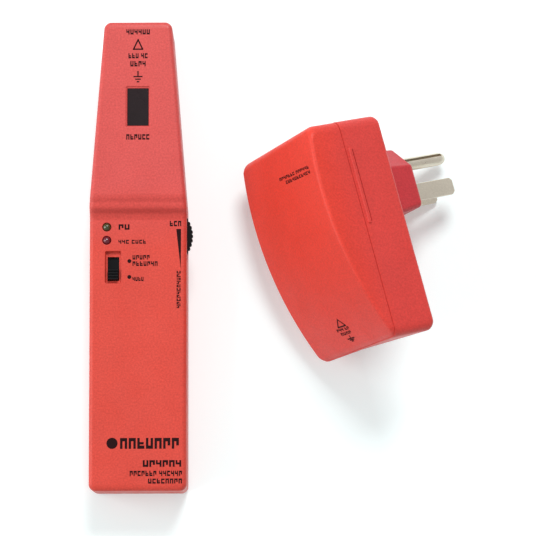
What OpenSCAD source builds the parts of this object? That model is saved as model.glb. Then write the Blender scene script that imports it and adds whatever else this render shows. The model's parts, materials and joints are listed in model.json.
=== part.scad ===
// Circuit breaker finder: a hand-held receiver lying on its back, and a plug-in
// transmitter lying beside it. Millimetres. The origin is the centre of the
// receiver's back face, +Y points to the sensor tip, +Z leaves the front face.

/* [Receiver case] */
// Overall length of the receiver
receiver_len = 171; // [168:1:176]
// Width of the handle
handle_w = 35.3; // [35:0.1:37]
// Depth of the handle
handle_depth = 24; // [24:0.5:26]
// Depth of the raised sensor section
sensor_depth = 28; // [28:0.5:30]
// Width of the sensor section at its tip
tip_w = 24.6; // [24:0.2:28]
// Where the sensor section starts to taper, measured from the centre
taper_y = 18; // [18:0.5:20]
// Height of the parting line above the back face
parting_z = 11; // [10.5:0.5:11.5]
// Wall thickness of both cases
wall = 1.9; // [1.8:0.1:2]
// Rounding of the long edges
edge_r = 2.4; // [2:0.2:2.6]

/* [Receiver controls] */
// Radius of the sensitivity thumbwheel
wheel_r = 11.75; // [11.5:0.05:11.8]
// Thickness of the thumbwheel
wheel_t = 3; // [2.6:0.1:3]
// Number of grip ridges round the thumbwheel
wheel_ridges = 44; // [36:2:56]
// Travel of the mode switch knob
switch_travel = 4.3; // [4:0.1:4.3]
// Radius of the small indicator lamps
lamp_r = 1.45; // [1.4:0.05:1.5]

/* [Transmitter] */
// Height of the transmitter's housing along its long side
tx_h = 79; // [77:1:81]
// Width of the transmitter's housing
tx_w = 54.5; // [54:0.5:56]
// Depth of the rear case, from the outlet side to the parting line
tx_rear_d = 16.8; // [16:0.2:18]
// Radius of the curved front cover
tx_front_r = 128; // [126:1:132]
// How far the front cover's curve peaks ahead of the parting line
tx_front_peak = 14.15; // [14:0.05:15]
// Wall thickness of both transmitter shells
tx_wall = 2; // [2:0.1:2.4]

/* [Plug prongs] */
// Length of the two flat blades outside the housing
blade_len = 17; // [16.5:0.1:18]
// Width of a blade
blade_w = 6.35; // [6.3:0.05:6.4]
// Thickness of a blade
blade_t = 1.5; // [1.4:0.05:1.6]
// Distance between the two blades' middle planes
blade_pitch = 12.7; // [12.6:0.1:12.8]
// Diameter of the round ground pin
ground_d = 4.8; // [4.7:0.05:4.9]
// Distance from the blades' centre line to the ground pin's axis
ground_offset = 11.9; // [11.8:0.1:12]
// How much longer the ground pin is than the blades
ground_extra = 3.4; // [3:0.1:3.5]

/* [Hidden] */
$fn = 64;
arc_steps = 5;
gap = 0.15;

// Receiver, derived sizes
half_len = receiver_len / 2;
half_w = handle_w / 2;
half_tip = tip_w / 2;
taper_angle = atan((half_w - half_tip) / (half_len - taper_y));
corner_r = 2.2;
step_y = taper_y - 2.8;
ledge_drop = 1;
ledge_len = 3.15;
ledge_z = sensor_depth - ledge_drop;
fillet_r = 3;
ceiling_z = handle_depth - wall;
sensor_ceiling_z = sensor_depth - wall;

// Receiver, boards and what is on them
board_z = 14;
board_t = 1.6;
board_top = board_z + board_t;
board_low_y = -23;
board_high_y = 59;
board_half_w = 14.9;
board_posts = [[-10, 42], [10, 42], [-11, -19.5], [11, -19.5]];
case_posts = [[0, half_len - 5], [-12.6, -26.4], [12.6, -26.4]];
post_r = 2.8;
pilot_r = 1.15;
screw_head_r = 2.1;

// Controls on the front face
lamp_x = -11.4;
power_lamp_y = 10.2;
low_lamp_y = 5.35;
switch_x = -9;
switch_slot = [4.15, 8.65];
switch_slot_y = -4.95;
switch_recess = [5.7, 11.5];
switch_recess_y = -4.5;
knob_len = 3.9;
knob_y = switch_slot_y - switch_slot[1] / 2 + gap + knob_len / 2;
wheel_pos = [8.1, 7.45];
wheel_z = 17;
shaft_r = 2;
window = [7.7, 13.8];
window_y = 53.85;

// Battery and its door
battery_size = [26.5, 46.4, 17.5];
battery_y0 = -half_len + 2.3;
battery_z0 = 2.6;
battery_end_y = battery_y0 + battery_size[1];
battery_mid_z = battery_z0 + battery_size[2] / 2;
door_half_w = 12.8;
door_top_y = -32.2;
door_t = 2;
tongue = 1.5;
tongue_z = 0.9;
divider_y = -29.6;
snap_stud_x = 6.35;

// Pick-up coil in the sensor tip
coil_z = 14;
rod_r = 2.5;
bobbin_y = [61, 75];
flange_r = 6;
snap_end_y = battery_end_y + 5;
lead_route = [[snap_end_y + 0.1, 12], [-30.8, 12], [-28.9, 12.6], [-26.2, 12.2], [-23, 12.4], [-21, 13.3]];
cradle_y = [bobbin_y[0] + 0.6, bobbin_y[1] - 0.6];

// Transmitter, in its own frame: x leaves the outlet side, y runs along the
// housing towards the ground pin, z leaves the side that faces up at rest
tx_edge_r = 2;
tx_corner_r = 3;
tx_fillet_r = 2.4;
tx_half_h = tx_h / 2;
tx_half_w = tx_w / 2;
arc_y = 17.5;
arc_x = -tx_rear_d - tx_front_peak + tx_front_r;
boss_len = 19.8;
blades_y = 12.3;
blade_tip_x = boss_len + blade_len;
ground_y = blades_y + ground_offset;
prong_tail_x = 5;
neck_r = 2.1;
neck_end_x = boss_len + 0.5;
plate_x = [8, 11];
tx_board_x = -14;
tx_board_t = 1.6;
tx_posts = [[-32, -20], [32, -20], [-32, 20], [32, 20]];
tx_board_posts = [[-24, 0], [31, 0]];

// Lying tilt: the rounded rear edge and the lower blade's tip both touch z = 0
tip_reach = blade_tip_x + tx_edge_r;
tip_rise = tx_half_w - tx_edge_r - blade_pitch / 2 - blade_t / 2;
tx_tilt = atan2(tip_rise, tip_reach) + asin(tx_edge_r / norm([tip_rise, tip_reach]));
tx_lift = tx_edge_r + (tx_half_w - tx_edge_r) * cos(tx_tilt) - tx_edge_r * sin(tx_tilt);
tx_yaw = 14.75;
tx_place = [84.1, 5.95, tx_lift + 0.05];

// ---------------------------------------------------------------- helpers

// Rectangle with true arcs at its corners, centred
module round_rect(w, h, r) {
    square([w - 2 * r, h], center = true);
    square([w, h - 2 * r], center = true);
    for (x = [-1, 1], y = [-1, 1])
        translate([x * (w / 2 - r), y * (h / 2 - r)]) circle(r);
}

// Points of a quarter-like arc about c, from angle a0 to a1
function arc(c, r, a0, a1) =
    [for (i = [0 : arc_steps]) let (a = a0 + (a1 - a0) * i / arc_steps) c + r * [cos(a), sin(a)]];

// Rectangle from lo to hi with its corners cut to short flats that follow an arc
module soft_rect(lo, hi, r) {
    polygon(concat(
        arc([hi[0] - r, hi[1] - r], r, 0, 90),
        arc([lo[0] + r, hi[1] - r], r, 90, 180),
        arc([lo[0] + r, lo[1] + r], r, 180, 270),
        arc([hi[0] - r, lo[1] + r], r, 270, 360)));
}

// Stands a flat drawing up so that its x stays x and its y becomes z, spread along y
module along_y(len) {
    rotate([90, 0, 0]) linear_extrude(len, center = true) children();
}

// Stands a flat drawing up so that its x becomes y and its y becomes z, spread along x
module along_x(len) {
    rotate([90, 0, 90]) linear_extrude(len, center = true) children();
}

module box(lo, hi) {
    translate(lo) cube(hi - lo);
}

module post(pos, z0, z1, r) {
    translate([pos[0], pos[1], z0]) cylinder(h = z1 - z0, r = r);
}

// Point on a smooth curve through the points, at a whole-number-plus-fraction place t
function curve_at(p, t) =
    let (
        last = len(p) - 1,
        i = min(floor(t), last - 1),
        u = t - i,
        a = p[max(i - 1, 0)],
        b = p[i],
        c = p[i + 1],
        d = p[min(i + 2, last)]
    )
    0.5 * (2 * b + (c - a) * u + (2 * a - 5 * b + 4 * c - d) * u * u
        + (3 * b - a - 3 * c + d) * u * u * u);

// Insulated wire of radius r, swept as one closed tube along a smooth curve
module wire(points, r) {
    sides = 8;
    steps = 6 * (len(points) - 1);
    path = [for (i = [0 : steps]) curve_at(points, i * (len(points) - 1) / steps)];
    ring = [for (i = [0 : steps])
        let (
            t = path[min(i + 1, steps)] - path[max(i - 1, 0)],
            n = cross(t, [0.3, 0.2, 0.93]),
            u = n / norm(n),
            w = cross(t, u) / norm(t)
        )
        for (k = [0 : sides - 1])
            path[i] + r * (u * cos(360 * k / sides) + w * sin(360 * k / sides))];
    sides_faces = [for (i = [0 : steps - 1], k = [0 : sides - 1])
        let (k2 = (k + 1) % sides)
            [i * sides + k, i * sides + k2, (i + 1) * sides + k2, (i + 1) * sides + k]];
    first_cap = [for (k = [sides - 1 : -1 : 0]) k];
    last_cap = [for (k = [0 : sides - 1]) steps * sides + k];
    polyhedron(ring, concat(sides_faces, [first_cap, last_cap]), convexity = 6);
}

// ---------------------------------------------------------------- receiver shells

// Plan outline, set inwards by inset, with round corners at both ends
module plan(inset) {
    r = corner_r;
    w = half_w - inset;
    end = half_len - inset;
    tip = [half_tip - inset - r * (1 - sin(taper_angle)) / cos(taper_angle), end - r];
    right = concat(
        arc([w - r, -end + r], r, -90, 0),
        [[w, taper_y]],
        arc(tip, r, taper_angle, 90));
    polygon(concat(right, [for (i = [len(right) - 1 : -1 : 0]) [-right[i][0], right[i][1]]]));
}

// Wide block with one soft-edged side, turned about the point where side s starts to taper
module edge_block(depth, turn, s) {
    translate([s * half_w, taper_y, 0])
        rotate([0, 0, turn])
            translate([-s * handle_w, 0, 0])
                along_y(2 * receiver_len) soft_rect([-handle_w, 0], [handle_w, depth], edge_r);
}

// Outer form at one depth: straight handle, tapered tip, and softened ends
module outer_form(depth, y0, y1) {
    intersection() {
        linear_extrude(depth) plan(0);
        edge_block(depth, 0, 1);
        edge_block(depth, 0, -1);
        edge_block(depth, taper_angle, 1);
        edge_block(depth, -taper_angle, -1);
        along_x(2 * handle_w) soft_rect([y0, 0], [y1, depth], edge_r);
    }
}

module receiver_outer() {
    outer_form(handle_depth, -half_len, half_len - 20);
    // Raised section, with a low ledge before its full height
    difference() {
        outer_form(sensor_depth, step_y + ledge_len, half_len);
        box([-half_w - 1, step_y, -1], [half_w + 1, step_y + ledge_len + edge_r, handle_depth - edge_r - 1]);
    }
    outer_form(ledge_z, step_y, half_len - 20);
    // Hollow curve that leads from the handle's face up to the ledge
    intersection() {
        outer_form(ledge_z, step_y - 12, half_len - 20);
        along_x(2 * handle_w)
            polygon(concat(
                arc([step_y - fillet_r, handle_depth + fillet_r], fillet_r, 270, 342),
                [[step_y + 2, handle_depth + fillet_r * 0.7], [step_y + 2, ceiling_z],
                 [step_y - fillet_r, ceiling_z]]));
    }
}

// Room inside, from z0 up to the two ceilings
module receiver_room(z0) {
    intersection() {
        linear_extrude(sensor_ceiling_z) plan(wall);
        union() {
            box([-half_w, -half_len, z0], [half_w, taper_y + 3, ceiling_z]);
            box([-half_w, taper_y + 0.8, z0], [half_w, half_len, sensor_ceiling_z]);
        }
    }
}

module front_posts() {
    for (p = board_posts)
        post(p, board_top, (p[1] > taper_y ? sensor_ceiling_z : ceiling_z) + wall / 2, 2.2);
    for (p = case_posts)
        post(p, parting_z, (p[1] > taper_y ? sensor_ceiling_z : ceiling_z) + wall / 2, post_r);
    // Wall between the battery and the circuit board, with a notch for the leads
    difference() {
        box([-half_w, divider_y, parting_z], [half_w, divider_y + 1.4, ceiling_z + wall / 2]);
        box([-5, divider_y - 1, parting_z - 1], [5, divider_y + 3, parting_z + 5]);
    }
}

module front_openings() {
    for (y = [power_lamp_y, low_lamp_y])
        translate([lamp_x, y, ceiling_z - 1]) cylinder(h = wall + 2, r = lamp_r + gap);
    // Sunk panel and slot of the mode switch
    translate([switch_x, switch_recess_y, handle_depth - 0.6])
        linear_extrude(1) round_rect(switch_recess[0], switch_recess[1], 0.6);
    translate([switch_x, switch_slot_y, ceiling_z - 1])
        linear_extrude(wall + 2) square(switch_slot, center = true);
    // Signal window: shallow frame, opening and inner ledge
    translate([0, window_y, sensor_depth - 0.5])
        linear_extrude(1) round_rect(window[0] + 1, window[1] + 1.2, 0.5);
    translate([0, window_y, sensor_ceiling_z - 1])
        linear_extrude(wall + 2) square([window[0] + gap, window[1] + gap], center = true);
    // Side slot for the thumbwheel
    box([half_w - wall - 1.2, wheel_pos[1] - 9.4, wheel_z - 0.5],
        [half_w + 2, wheel_pos[1] + 9.4, wheel_z + wheel_t + 0.5]);
    for (p = board_posts) post(p, board_top - 1, board_top + 5, pilot_r * 0.8);
    for (p = case_posts) post(p, parting_z - 1, parting_z + 8.5, pilot_r);
}

module front_case() {
    color([0.90, 0.27, 0.23])
        difference() {
            union() {
                difference() {
                    intersection() {
                        receiver_outer();
                        box([-50, -half_len - 1, parting_z], [50, half_len + 1, sensor_depth + 1]);
                    }
                    receiver_room(parting_z - 1);
                }
                intersection() {
                    front_posts();
                    linear_extrude(sensor_depth) plan(wall / 2);
                }
            }
            front_openings();
        }
}

module back_posts() {
    for (p = case_posts) post(p, wall / 2, parting_z, post_r);
    // Cradle that holds the coil bobbin by its two flanges
    for (y = cradle_y)
        difference() {
            box([-8, y - 0.9, wall / 2], [8, y + 0.9, coil_z - 2]);
            translate([0, y, coil_z]) rotate([90, 0, 0]) cylinder(h = 3, r = flange_r, center = true);
        }
    difference() {
        box([-half_w, divider_y, wall / 2], [half_w, divider_y + 1.4, parting_z]);
        box([-5, divider_y - 1, parting_z - 3], [5, divider_y + 3, parting_z + 1]);
    }
    // Rails that keep the door's tongues down
    for (s = [-1, 1])
        translate([s * (half_w - wall - 0.85), (door_top_y - half_len + wall) / 2, 2.7])
            cube([1.8, door_top_y + half_len - wall, 1], center = true);
}

module door_cutout() {
    g = 0.2;
    box([-door_half_w - g, -half_len - 1, -1], [door_half_w + g, door_top_y + g, 2.5]);
    box([-door_half_w - tongue - g, -half_len + wall + 0.6, tongue_z - g],
        [door_half_w + tongue + g, door_top_y + g, door_t + 0.2]);
    box([-door_half_w - g, -half_len - 1, -1], [door_half_w + g, -half_len + wall + 0.2, 9.7]);
    box([-door_half_w - tongue - g, -half_len - 1, tongue_z - g],
        [door_half_w + tongue + g, -half_len + wall + 1, door_t + 0.2]);
}

module back_case() {
    color([0.88, 0.26, 0.22])
        difference() {
            union() {
                difference() {
                    intersection() {
                        receiver_outer();
                        box([-50, -half_len - 1, -1], [50, half_len + 1, parting_z]);
                    }
                    intersection() {
                        linear_extrude(parting_z + 1) plan(wall);
                        box([-50, -half_len, wall], [50, half_len, parting_z + 1]);
                    }
                }
                intersection() {
                    back_posts();
                    linear_extrude(sensor_depth) plan(wall / 2);
                }
            }
            door_cutout();
            for (p = case_posts) {
                post(p, -1, 2.4, screw_head_r + 0.2);
                post(p, 0, parting_z + 1, 1.35);
            }
        }
}

module battery_door() {
    color([0.88, 0.26, 0.22])
        intersection() {
            receiver_outer();
            difference() {
                union() {
                    box([-door_half_w, -half_len - 1, 0], [door_half_w, door_top_y, door_t]);
                    box([-door_half_w - tongue, -half_len + wall + 0.6, tongue_z],
                        [door_half_w + tongue, door_top_y, door_t]);
                    box([-door_half_w, -half_len - 1, 0], [door_half_w, -half_len + wall, 9.5]);
                }
                for (i = [0 : 5])
                    box([-7, -76 + 2 * i, -1], [7, -75 + 2 * i, 0.5]);
            }
        }
}

// ---------------------------------------------------------------- window and lamps

module signal_window() {
    color([0.06, 0.03, 0.04]) {
        translate([0, window_y, sensor_ceiling_z - 1.1])
            linear_extrude(1.1) square([window[0] + 2, window[1] + 2], center = true);
        translate([0, window_y, sensor_ceiling_z - 0.5])
            linear_extrude(wall - 0.2) square(window, center = true);
    }
}

// Lamp with a flange, a straight body and a domed end
module lamp(x, y, r, flange_z, dome_z) {
    translate([x, y, flange_z]) cylinder(h = 1, r = r * 1.18);
    translate([x, y, flange_z]) cylinder(h = dome_z - flange_z, r = r);
    translate([x, y, dome_z]) sphere(r);
}

module signal_lamp() {
    color([0.85, 0.2, 0.15]) lamp(0, window_y, 2.5, 17.4, 22);
}

module power_lamp() {
    color([0.25, 0.35, 0.12]) lamp(lamp_x, power_lamp_y, lamp_r, 18.6, handle_depth - 0.5);
}

module low_battery_lamp() {
    color([0.5, 0.05, 0.1]) lamp(lamp_x, low_lamp_y, lamp_r, 18.6, handle_depth - 0.5);
}

module lamp_legs() {
    color([0.75, 0.74, 0.7]) {
        for (y = [power_lamp_y, low_lamp_y], s = [-1, 1])
            translate([lamp_x + s * 0.8, y, (board_top + 18.6) / 2])
                cube([0.5, 0.5, 18.6 - board_top], center = true);
        for (s = [-1, 1])
            translate([s * 1.27, window_y, (board_top + 17.4) / 2])
                cube([0.5, 0.5, 17.4 - board_top], center = true);
    }
}

// ---------------------------------------------------------------- mode switch

module switch_frame() {
    color([0.7, 0.7, 0.72])
        difference() {
            box([switch_x - 3, -14, board_top + 0.6], [switch_x + 3, 2.6, 20.3]);
            box([switch_x - 1.1, -11.5, board_top + 2], [switch_x + 1.1, 1, 21]);
        }
}

module switch_knob() {
    color([0.08, 0.08, 0.09])
        difference() {
            union() {
                // Thumb piece, dust shield and the foot that works the contacts
                translate([switch_x, knob_y, (20.5 + 24.3) / 2])
                    cube([switch_slot[0] - 0.3, knob_len, 3.8], center = true);
                box([switch_x - 2.8, -13.9, 20.5], [switch_x + 2.8, -0.75, 21.4]);
                box([switch_x - 0.9, knob_y - 1.2, board_top + 2.4], [switch_x + 0.9, knob_y + 1.2, 20.6]);
            }
            for (i = [-1 : 1])
                translate([switch_x, knob_y + i * 1.1, 24.3]) cube([8, 0.5, 0.8], center = true);
        }
}

module switch_pins() {
    color([0.78, 0.77, 0.72])
        for (i = [0 : 2], s = [-1, 1])
            translate([switch_x + s * 1.6, -9.2 + 3.6 * i, (board_z - 1 + board_top + 0.6) / 2])
                cube([0.6, 0.8, 1.6 + board_t], center = true);
}

// ---------------------------------------------------------------- sensitivity control

// Rim outline with one shallow valley between every two ridges
function rim_points(n, r, depth) =
    [for (i = [0 : 4 * n - 1])
        let (a = 90 * i / n, q = i % 4, rr = (q == 0 || q == 1) ? r : r - depth)
            [rr * cos(a), rr * sin(a)]];

module thumbwheel() {
    color([0.07, 0.07, 0.08])
        translate([wheel_pos[0], wheel_pos[1], wheel_z])
            difference() {
                union() {
                    linear_extrude(wheel_t) polygon(rim_points(wheel_ridges, wheel_r, 0.45));
                    cylinder(h = wheel_t, r = wheel_r - 0.6);
                }
                translate([0, 0, -1]) cylinder(h = wheel_t + 2, r = shaft_r);
                translate([0, 0, wheel_t - 1.2]) cylinder(h = 2, r = 3);
                for (i = [0 : 5])
                    rotate([0, 0, 60 * i]) translate([6.6, 0, wheel_t - 0.8]) cylinder(h = 2, r = 1.7);
            }
}

module thumbwheel_screw() {
    color([0.75, 0.75, 0.75])
        translate([wheel_pos[0], wheel_pos[1], 0])
            difference() {
                union() {
                    translate([0, 0, 18.8]) cylinder(h = 1.1, r = 2.6);
                    translate([0, 0, 16.4]) cylinder(h = 2.5, r = 0.9);
                }
                translate([0, 0, 19.8]) cube([4, 0.5, 0.8], center = true);
            }
}

module potentiometer_shaft() {
    color([0.85, 0.84, 0.8])
        translate([wheel_pos[0], wheel_pos[1], board_top + 0.1])
            difference() {
                cylinder(h = 18.8 - board_top - 0.1, r = shaft_r);
                translate([0, 0, 0.7]) cylinder(h = 5, r = 0.9);
            }
}

module potentiometer_body() {
    color([0.2, 0.3, 0.45])
        difference() {
            translate([wheel_pos[0], wheel_pos[1], board_top])
                linear_extrude(1.2) round_rect(12, 12, 1);
            translate([wheel_pos[0], wheel_pos[1], board_top - 1]) cylinder(h = 4, r = shaft_r + 0.05);
        }
}

module potentiometer_pins() {
    color([0.78, 0.77, 0.72])
        for (i = [-1 : 1])
            translate([wheel_pos[0] + 2.5 * i, wheel_pos[1] - 5.2, board_z - 0.6])
                cube([0.8, 0.5, 1.2], center = true);
}

// ---------------------------------------------------------------- receiver electronics

module receiver_board() {
    color([0.12, 0.42, 0.2])
        difference() {
            intersection() {
                translate([0, 0, board_z]) linear_extrude(board_t) plan(wall + 0.4);
                box([-board_half_w, board_low_y, 0], [board_half_w, board_high_y, 30]);
            }
            for (p = board_posts) post(p, board_z - 1, board_top + 1, 1.35);
            for (i = [0 : 2], s = [-1, 1])
                translate([switch_x + s * 1.6, -9.2 + 3.6 * i, board_z])
                    cube([0.6, 0.8, 4], center = true);
        }
}

module ferrite_rod() {
    color([0.25, 0.24, 0.25])
        translate([0, bobbin_y[0] - 1, coil_z]) rotate([-90, 0, 0])
            cylinder(h = bobbin_y[1] - bobbin_y[0] + 2, r = rod_r);
}

module coil_bobbin() {
    color([0.9, 0.88, 0.8])
        translate([0, bobbin_y[0], coil_z]) rotate([-90, 0, 0])
            difference() {
                len = bobbin_y[1] - bobbin_y[0];
                union() {
                    cylinder(h = len, r = rod_r + 0.8);
                    cylinder(h = 1.2, r = flange_r);
                    translate([0, 0, len - 1.2]) cylinder(h = 1.2, r = flange_r);
                }
                translate([0, 0, -1]) cylinder(h = len + 2, r = rod_r);
            }
}

module coil_winding() {
    color([0.72, 0.38, 0.18])
        translate([0, bobbin_y[0] + 1.2, coil_z]) rotate([-90, 0, 0])
            difference() {
                cylinder(h = bobbin_y[1] - bobbin_y[0] - 2.4, r = 5);
                translate([0, 0, -1]) cylinder(h = 20, r = rod_r + 0.8);
            }
}

// Two fine wires from the bobbin down to the board's end
module coil_leads() {
    color([0.72, 0.38, 0.18])
        for (s = [-1, 1])
            wire([[s * 2.5, bobbin_y[0] - 0.3, coil_z + 4.4], [s * 3.5, 58, board_top + 1.2],
                  [s * 3.5, 56.5, board_top + 0.25]], 0.25);
}

module buzzer() {
    color([0.1, 0.1, 0.1])
        translate([3, 20, board_z - 6])
            difference() {
                cylinder(h = 6, r = 6);
                translate([0, 0, -1]) cylinder(h = 2.5, r = 1);
            }
}

// Chip body with two rows of legs
module chip(size, legs) {
    translate([0, 0, size[2] / 2 + 0.3]) cube([size[0], size[1], size[2]], center = true);
    for (i = [0 : legs - 1], s = [-1, 1])
        translate([s * (size[0] / 2 + 0.5), (i - (legs - 1) / 2) * 2.54, 0.7])
            cube([1.2, 0.6, 1.4], center = true);
}

module receiver_chips() {
    color([0.12, 0.12, 0.13]) {
        translate([-1, 33, board_top]) chip([6.4, 19, 3.3], 7);
        translate([2, -15, board_top]) chip([6.4, 9.6, 3.3], 4);
    }
}

module receiver_capacitors() {
    color([0.15, 0.2, 0.45]) {
        for (p = [[10, 33, 2.5, 6], [-10, 22, 2, 4.5], [12, -9.6, 2, 4]])
            translate([p[0], p[1], board_top]) cylinder(h = p[3], r = p[2]);
        for (p = [[-6, 48], [6, 50], [-6, 54]])
            translate([p[0], p[1], board_top + 1.5]) cube([3.6, 2, 3], center = true);
    }
}

// Row of small axial resistors lying across the board
module receiver_resistors() {
    color([0.8, 0.68, 0.48])
        for (p = [[-11, 28], [-11, 31], [-11, 34], [10, 24], [-9.5, 51], [8, -6], [0, 46.5]])
            translate([p[0], p[1], board_top + 0.9]) rotate([0, 90, 0])
                cylinder(h = 5, r = 0.85, center = true, $fn = 24);
}

// ---------------------------------------------------------------- battery

module battery() {
    color([0.25, 0.27, 0.3])
        translate([0, battery_y0 + battery_size[1] / 2, battery_mid_z])
            along_y(battery_size[1]) round_rect(battery_size[0], battery_size[2], 2);
}

module stud_line(x, y0, y1, r) {
    translate([x, y0, battery_mid_z]) rotate([-90, 0, 0]) cylinder(h = y1 - y0, r = r);
}

module battery_terminals() {
    color([0.8, 0.8, 0.8]) {
        stud_line(-snap_stud_x, battery_end_y, battery_end_y + 2, 2.8);
        stud_line(snap_stud_x, battery_end_y, battery_end_y + 2, 4);
    }
}

module battery_snap() {
    color([0.06, 0.06, 0.06])
        translate([0, battery_end_y + 3.5, battery_mid_z])
            along_y(3) round_rect(25, 12, 3);
}

module red_battery_lead() {
    color([0.75, 0.08, 0.08])
        wire([for (q = lead_route) [3, q[0], q[1]]], 0.65);
}

module black_battery_lead() {
    color([0.07, 0.07, 0.07])
        wire([for (q = lead_route) [-3, q[0], q[1]]], 0.65);
}

module battery_pad() {
    color([0.15, 0.15, 0.15])
        box([-9, battery_y0 + 6, battery_z0 + battery_size[2]], [9, battery_end_y - 6, ceiling_z]);
}

// ---------------------------------------------------------------- screws

// Pan-head screw that points up, its head's top face at z = 0
module screw(head_r, head_t, shank_r, len) {
    difference() {
        union() {
            cylinder(h = head_t, r = head_r);
            cylinder(h = len, r = shank_r);
        }
        for (a = [0, 90])
            rotate([0, 0, a]) cube([head_r * 1.2, 0.5, 1.2], center = true);
    }
}

module case_screws() {
    color([0.7, 0.7, 0.7])
        for (p = case_posts)
            translate([p[0], p[1], 0.8]) screw(screw_head_r, 1.6, pilot_r, 17);
}

module board_screws() {
    color([0.75, 0.75, 0.72])
        for (p = board_posts)
            translate([p[0], p[1], board_z - 1.4]) screw(2, 1.4, pilot_r * 0.8, 7);
}

// ---------------------------------------------------------------- transmitter shells

module in_transmitter_frame() {
    translate(tx_place) rotate([0, tx_tilt, tx_yaw]) children();
}

// Side outline with a curved front whose two ends are rounded by true arcs
module tx_outline(inset) {
    r = max(tx_fillet_r - inset, 0.4);
    big = tx_front_r - inset;
    end = tx_half_h - inset;
    fillet_y = [-end + r, end - r];
    fillet_x = [for (y = fillet_y) arc_x - sqrt(pow(big - r, 2) - pow(y - arc_y, 2))];
    touch_y = [for (y = fillet_y) arc_y + (y - arc_y) * big / (big - r)];
    intersection() {
        translate([arc_x, arc_y]) circle(big, $fn = 360);
        translate([-60, touch_y[0]]) square([60, touch_y[1] - touch_y[0]]);
    }
    for (i = [0, 1]) {
        translate([fillet_x[i], fillet_y[i]]) circle(r);
        translate([fillet_x[i], i == 0 ? -end : 0]) square([-fillet_x[i], end]);
    }
}

// Thick disc with a rounded rim, which rounds the curved front's long edges
module front_disc() {
    r = tx_edge_r;
    translate([arc_x, arc_y, 0])
        rotate_extrude($fn = 360) {
            translate([0, -tx_half_w]) square([tx_front_r - r, tx_w]);
            translate([0, -tx_half_w + r]) square([tx_front_r, tx_w - 2 * r]);
            for (s = [-1, 1]) translate([tx_front_r - r, s * (tx_half_w - r)]) circle(r);
        }
}

module tx_outer() {
    intersection() {
        linear_extrude(tx_w, center = true) tx_outline(0);
        front_disc();
        along_x(200) round_rect(tx_h, tx_w, tx_corner_r);
        translate([-40, 0, 0]) along_y(2 * tx_h) round_rect(80, tx_w, tx_edge_r);
        translate([-40, 0, 0]) linear_extrude(2 * tx_w, center = true) round_rect(80, tx_h, tx_edge_r);
    }
}

// Room inside, from the depth x0 forward to x1
module tx_room(x0, x1) {
    intersection() {
        linear_extrude(tx_w - 2 * tx_wall, center = true) tx_outline(tx_wall);
        box([x0, -tx_half_h + tx_wall, -tx_half_w], [x1, tx_half_h - tx_wall, tx_half_w]);
    }
}

module tx_screw_hole(p, x0, x1, r) {
    translate([x0, p[0], p[1]]) rotate([0, 90, 0]) cylinder(h = x1 - x0, r = r);
}

module transmitter_front_cover() {
    color([0.88, 0.24, 0.2])
        in_transmitter_frame()
            difference() {
                union() {
                    difference() {
                        intersection() {
                            tx_outer();
                            box([-60, -60, -40], [-tx_rear_d, 60, 40]);
                        }
                        tx_room(-60, -tx_rear_d + 1);
                    }
                    intersection() {
                        for (p = tx_posts) tx_screw_hole(p, -40, -tx_rear_d, 3);
                        tx_outer();
                    }
                }
                for (p = tx_posts)
                    tx_screw_hole(p, -tx_rear_d - (p[0] < 0 ? 3.5 : 8), -tx_rear_d + 1, pilot_r);
            }
}

// Pentagon of the boss round the prongs, in y and z, grown outwards by g
module boss_outline(low, side, shoulder, apex) {
    polygon([[low, -side], [shoulder, -side], [apex, 0], [shoulder, side], [low, side]]);
}

module boss_solid(x0, x1, inset) {
    thin = 0.02;
    hull() {
        translate([x0, 0, 0])
            along_x(thin) boss_outline(4 + inset, 11.3 - inset, 22.9 - inset / 2, 32.6 - inset * 1.4);
        translate([x1 - thin / 2, 0, 0])
            along_x(thin) boss_outline(6.4 + inset, 10.1 - inset, 22.1 - inset / 2, 31 - inset * 1.4);
    }
}

module prong_slots(clear) {
    for (s = [-1, 1])
        translate([boss_len, blades_y, s * blade_pitch / 2])
            cube([40, blade_w + clear, blade_t + clear], center = true);
    translate([0, ground_y, 0]) rotate([0, 90, 0]) cylinder(h = 40, r = neck_r + clear / 2);
}

module transmitter_rear_case() {
    color([0.88, 0.24, 0.2])
        in_transmitter_frame()
            difference() {
                union() {
                    difference() {
                        intersection() {
                            tx_outer();
                            box([-tx_rear_d, -60, -40], [10, 60, 40]);
                        }
                        box([-60, -tx_half_h + tx_wall, -tx_half_w + tx_wall],
                            [-tx_wall, tx_half_h - tx_wall, tx_half_w - tx_wall]);
                    }
                    boss_solid(-1, boss_len, 0);
                    for (p = tx_posts) tx_screw_hole(p, -tx_rear_d, -1, 3);
                    for (p = tx_board_posts) tx_screw_hole(p, tx_board_x + tx_board_t, -1, 2.6);
                    // Snap ribs on the two long sides, next to the parting line
                    for (s = [-1, 1])
                        translate([-15.2, 15, s * (tx_half_w + 0.1)]) cube([2, 28, 0.8], center = true);
                }
                boss_solid(-2.5, boss_len - 2.5, 2);
                prong_slots(0.06);
                for (p = tx_posts) {
                    tx_screw_hole(p, -tx_rear_d - 1, 1, 1.4);
                    tx_screw_hole(p, -2.4, 1, 2.8);
                }
                for (p = tx_board_posts) tx_screw_hole(p, tx_board_x, tx_board_x + 9, 1);
            }
}

// ---------------------------------------------------------------- prongs

// Flat blade with chamfered tip corners and the usual locking hole
module blade(s) {
    in_transmitter_frame()
        translate([0, blades_y, s * blade_pitch / 2])
            difference() {
                linear_extrude(blade_t, center = true)
                    polygon([
                        [prong_tail_x, -blade_w / 2], [blade_tip_x - 0.8, -blade_w / 2],
                        [blade_tip_x, -blade_w / 2 + 0.8], [blade_tip_x, blade_w / 2 - 0.8],
                        [blade_tip_x - 0.8, blade_w / 2], [prong_tail_x, blade_w / 2],
                    ]);
                translate([prong_tail_x + 1.8, 0, 0]) cylinder(h = 4, r = 0.8, center = true);
            }
}

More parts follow.
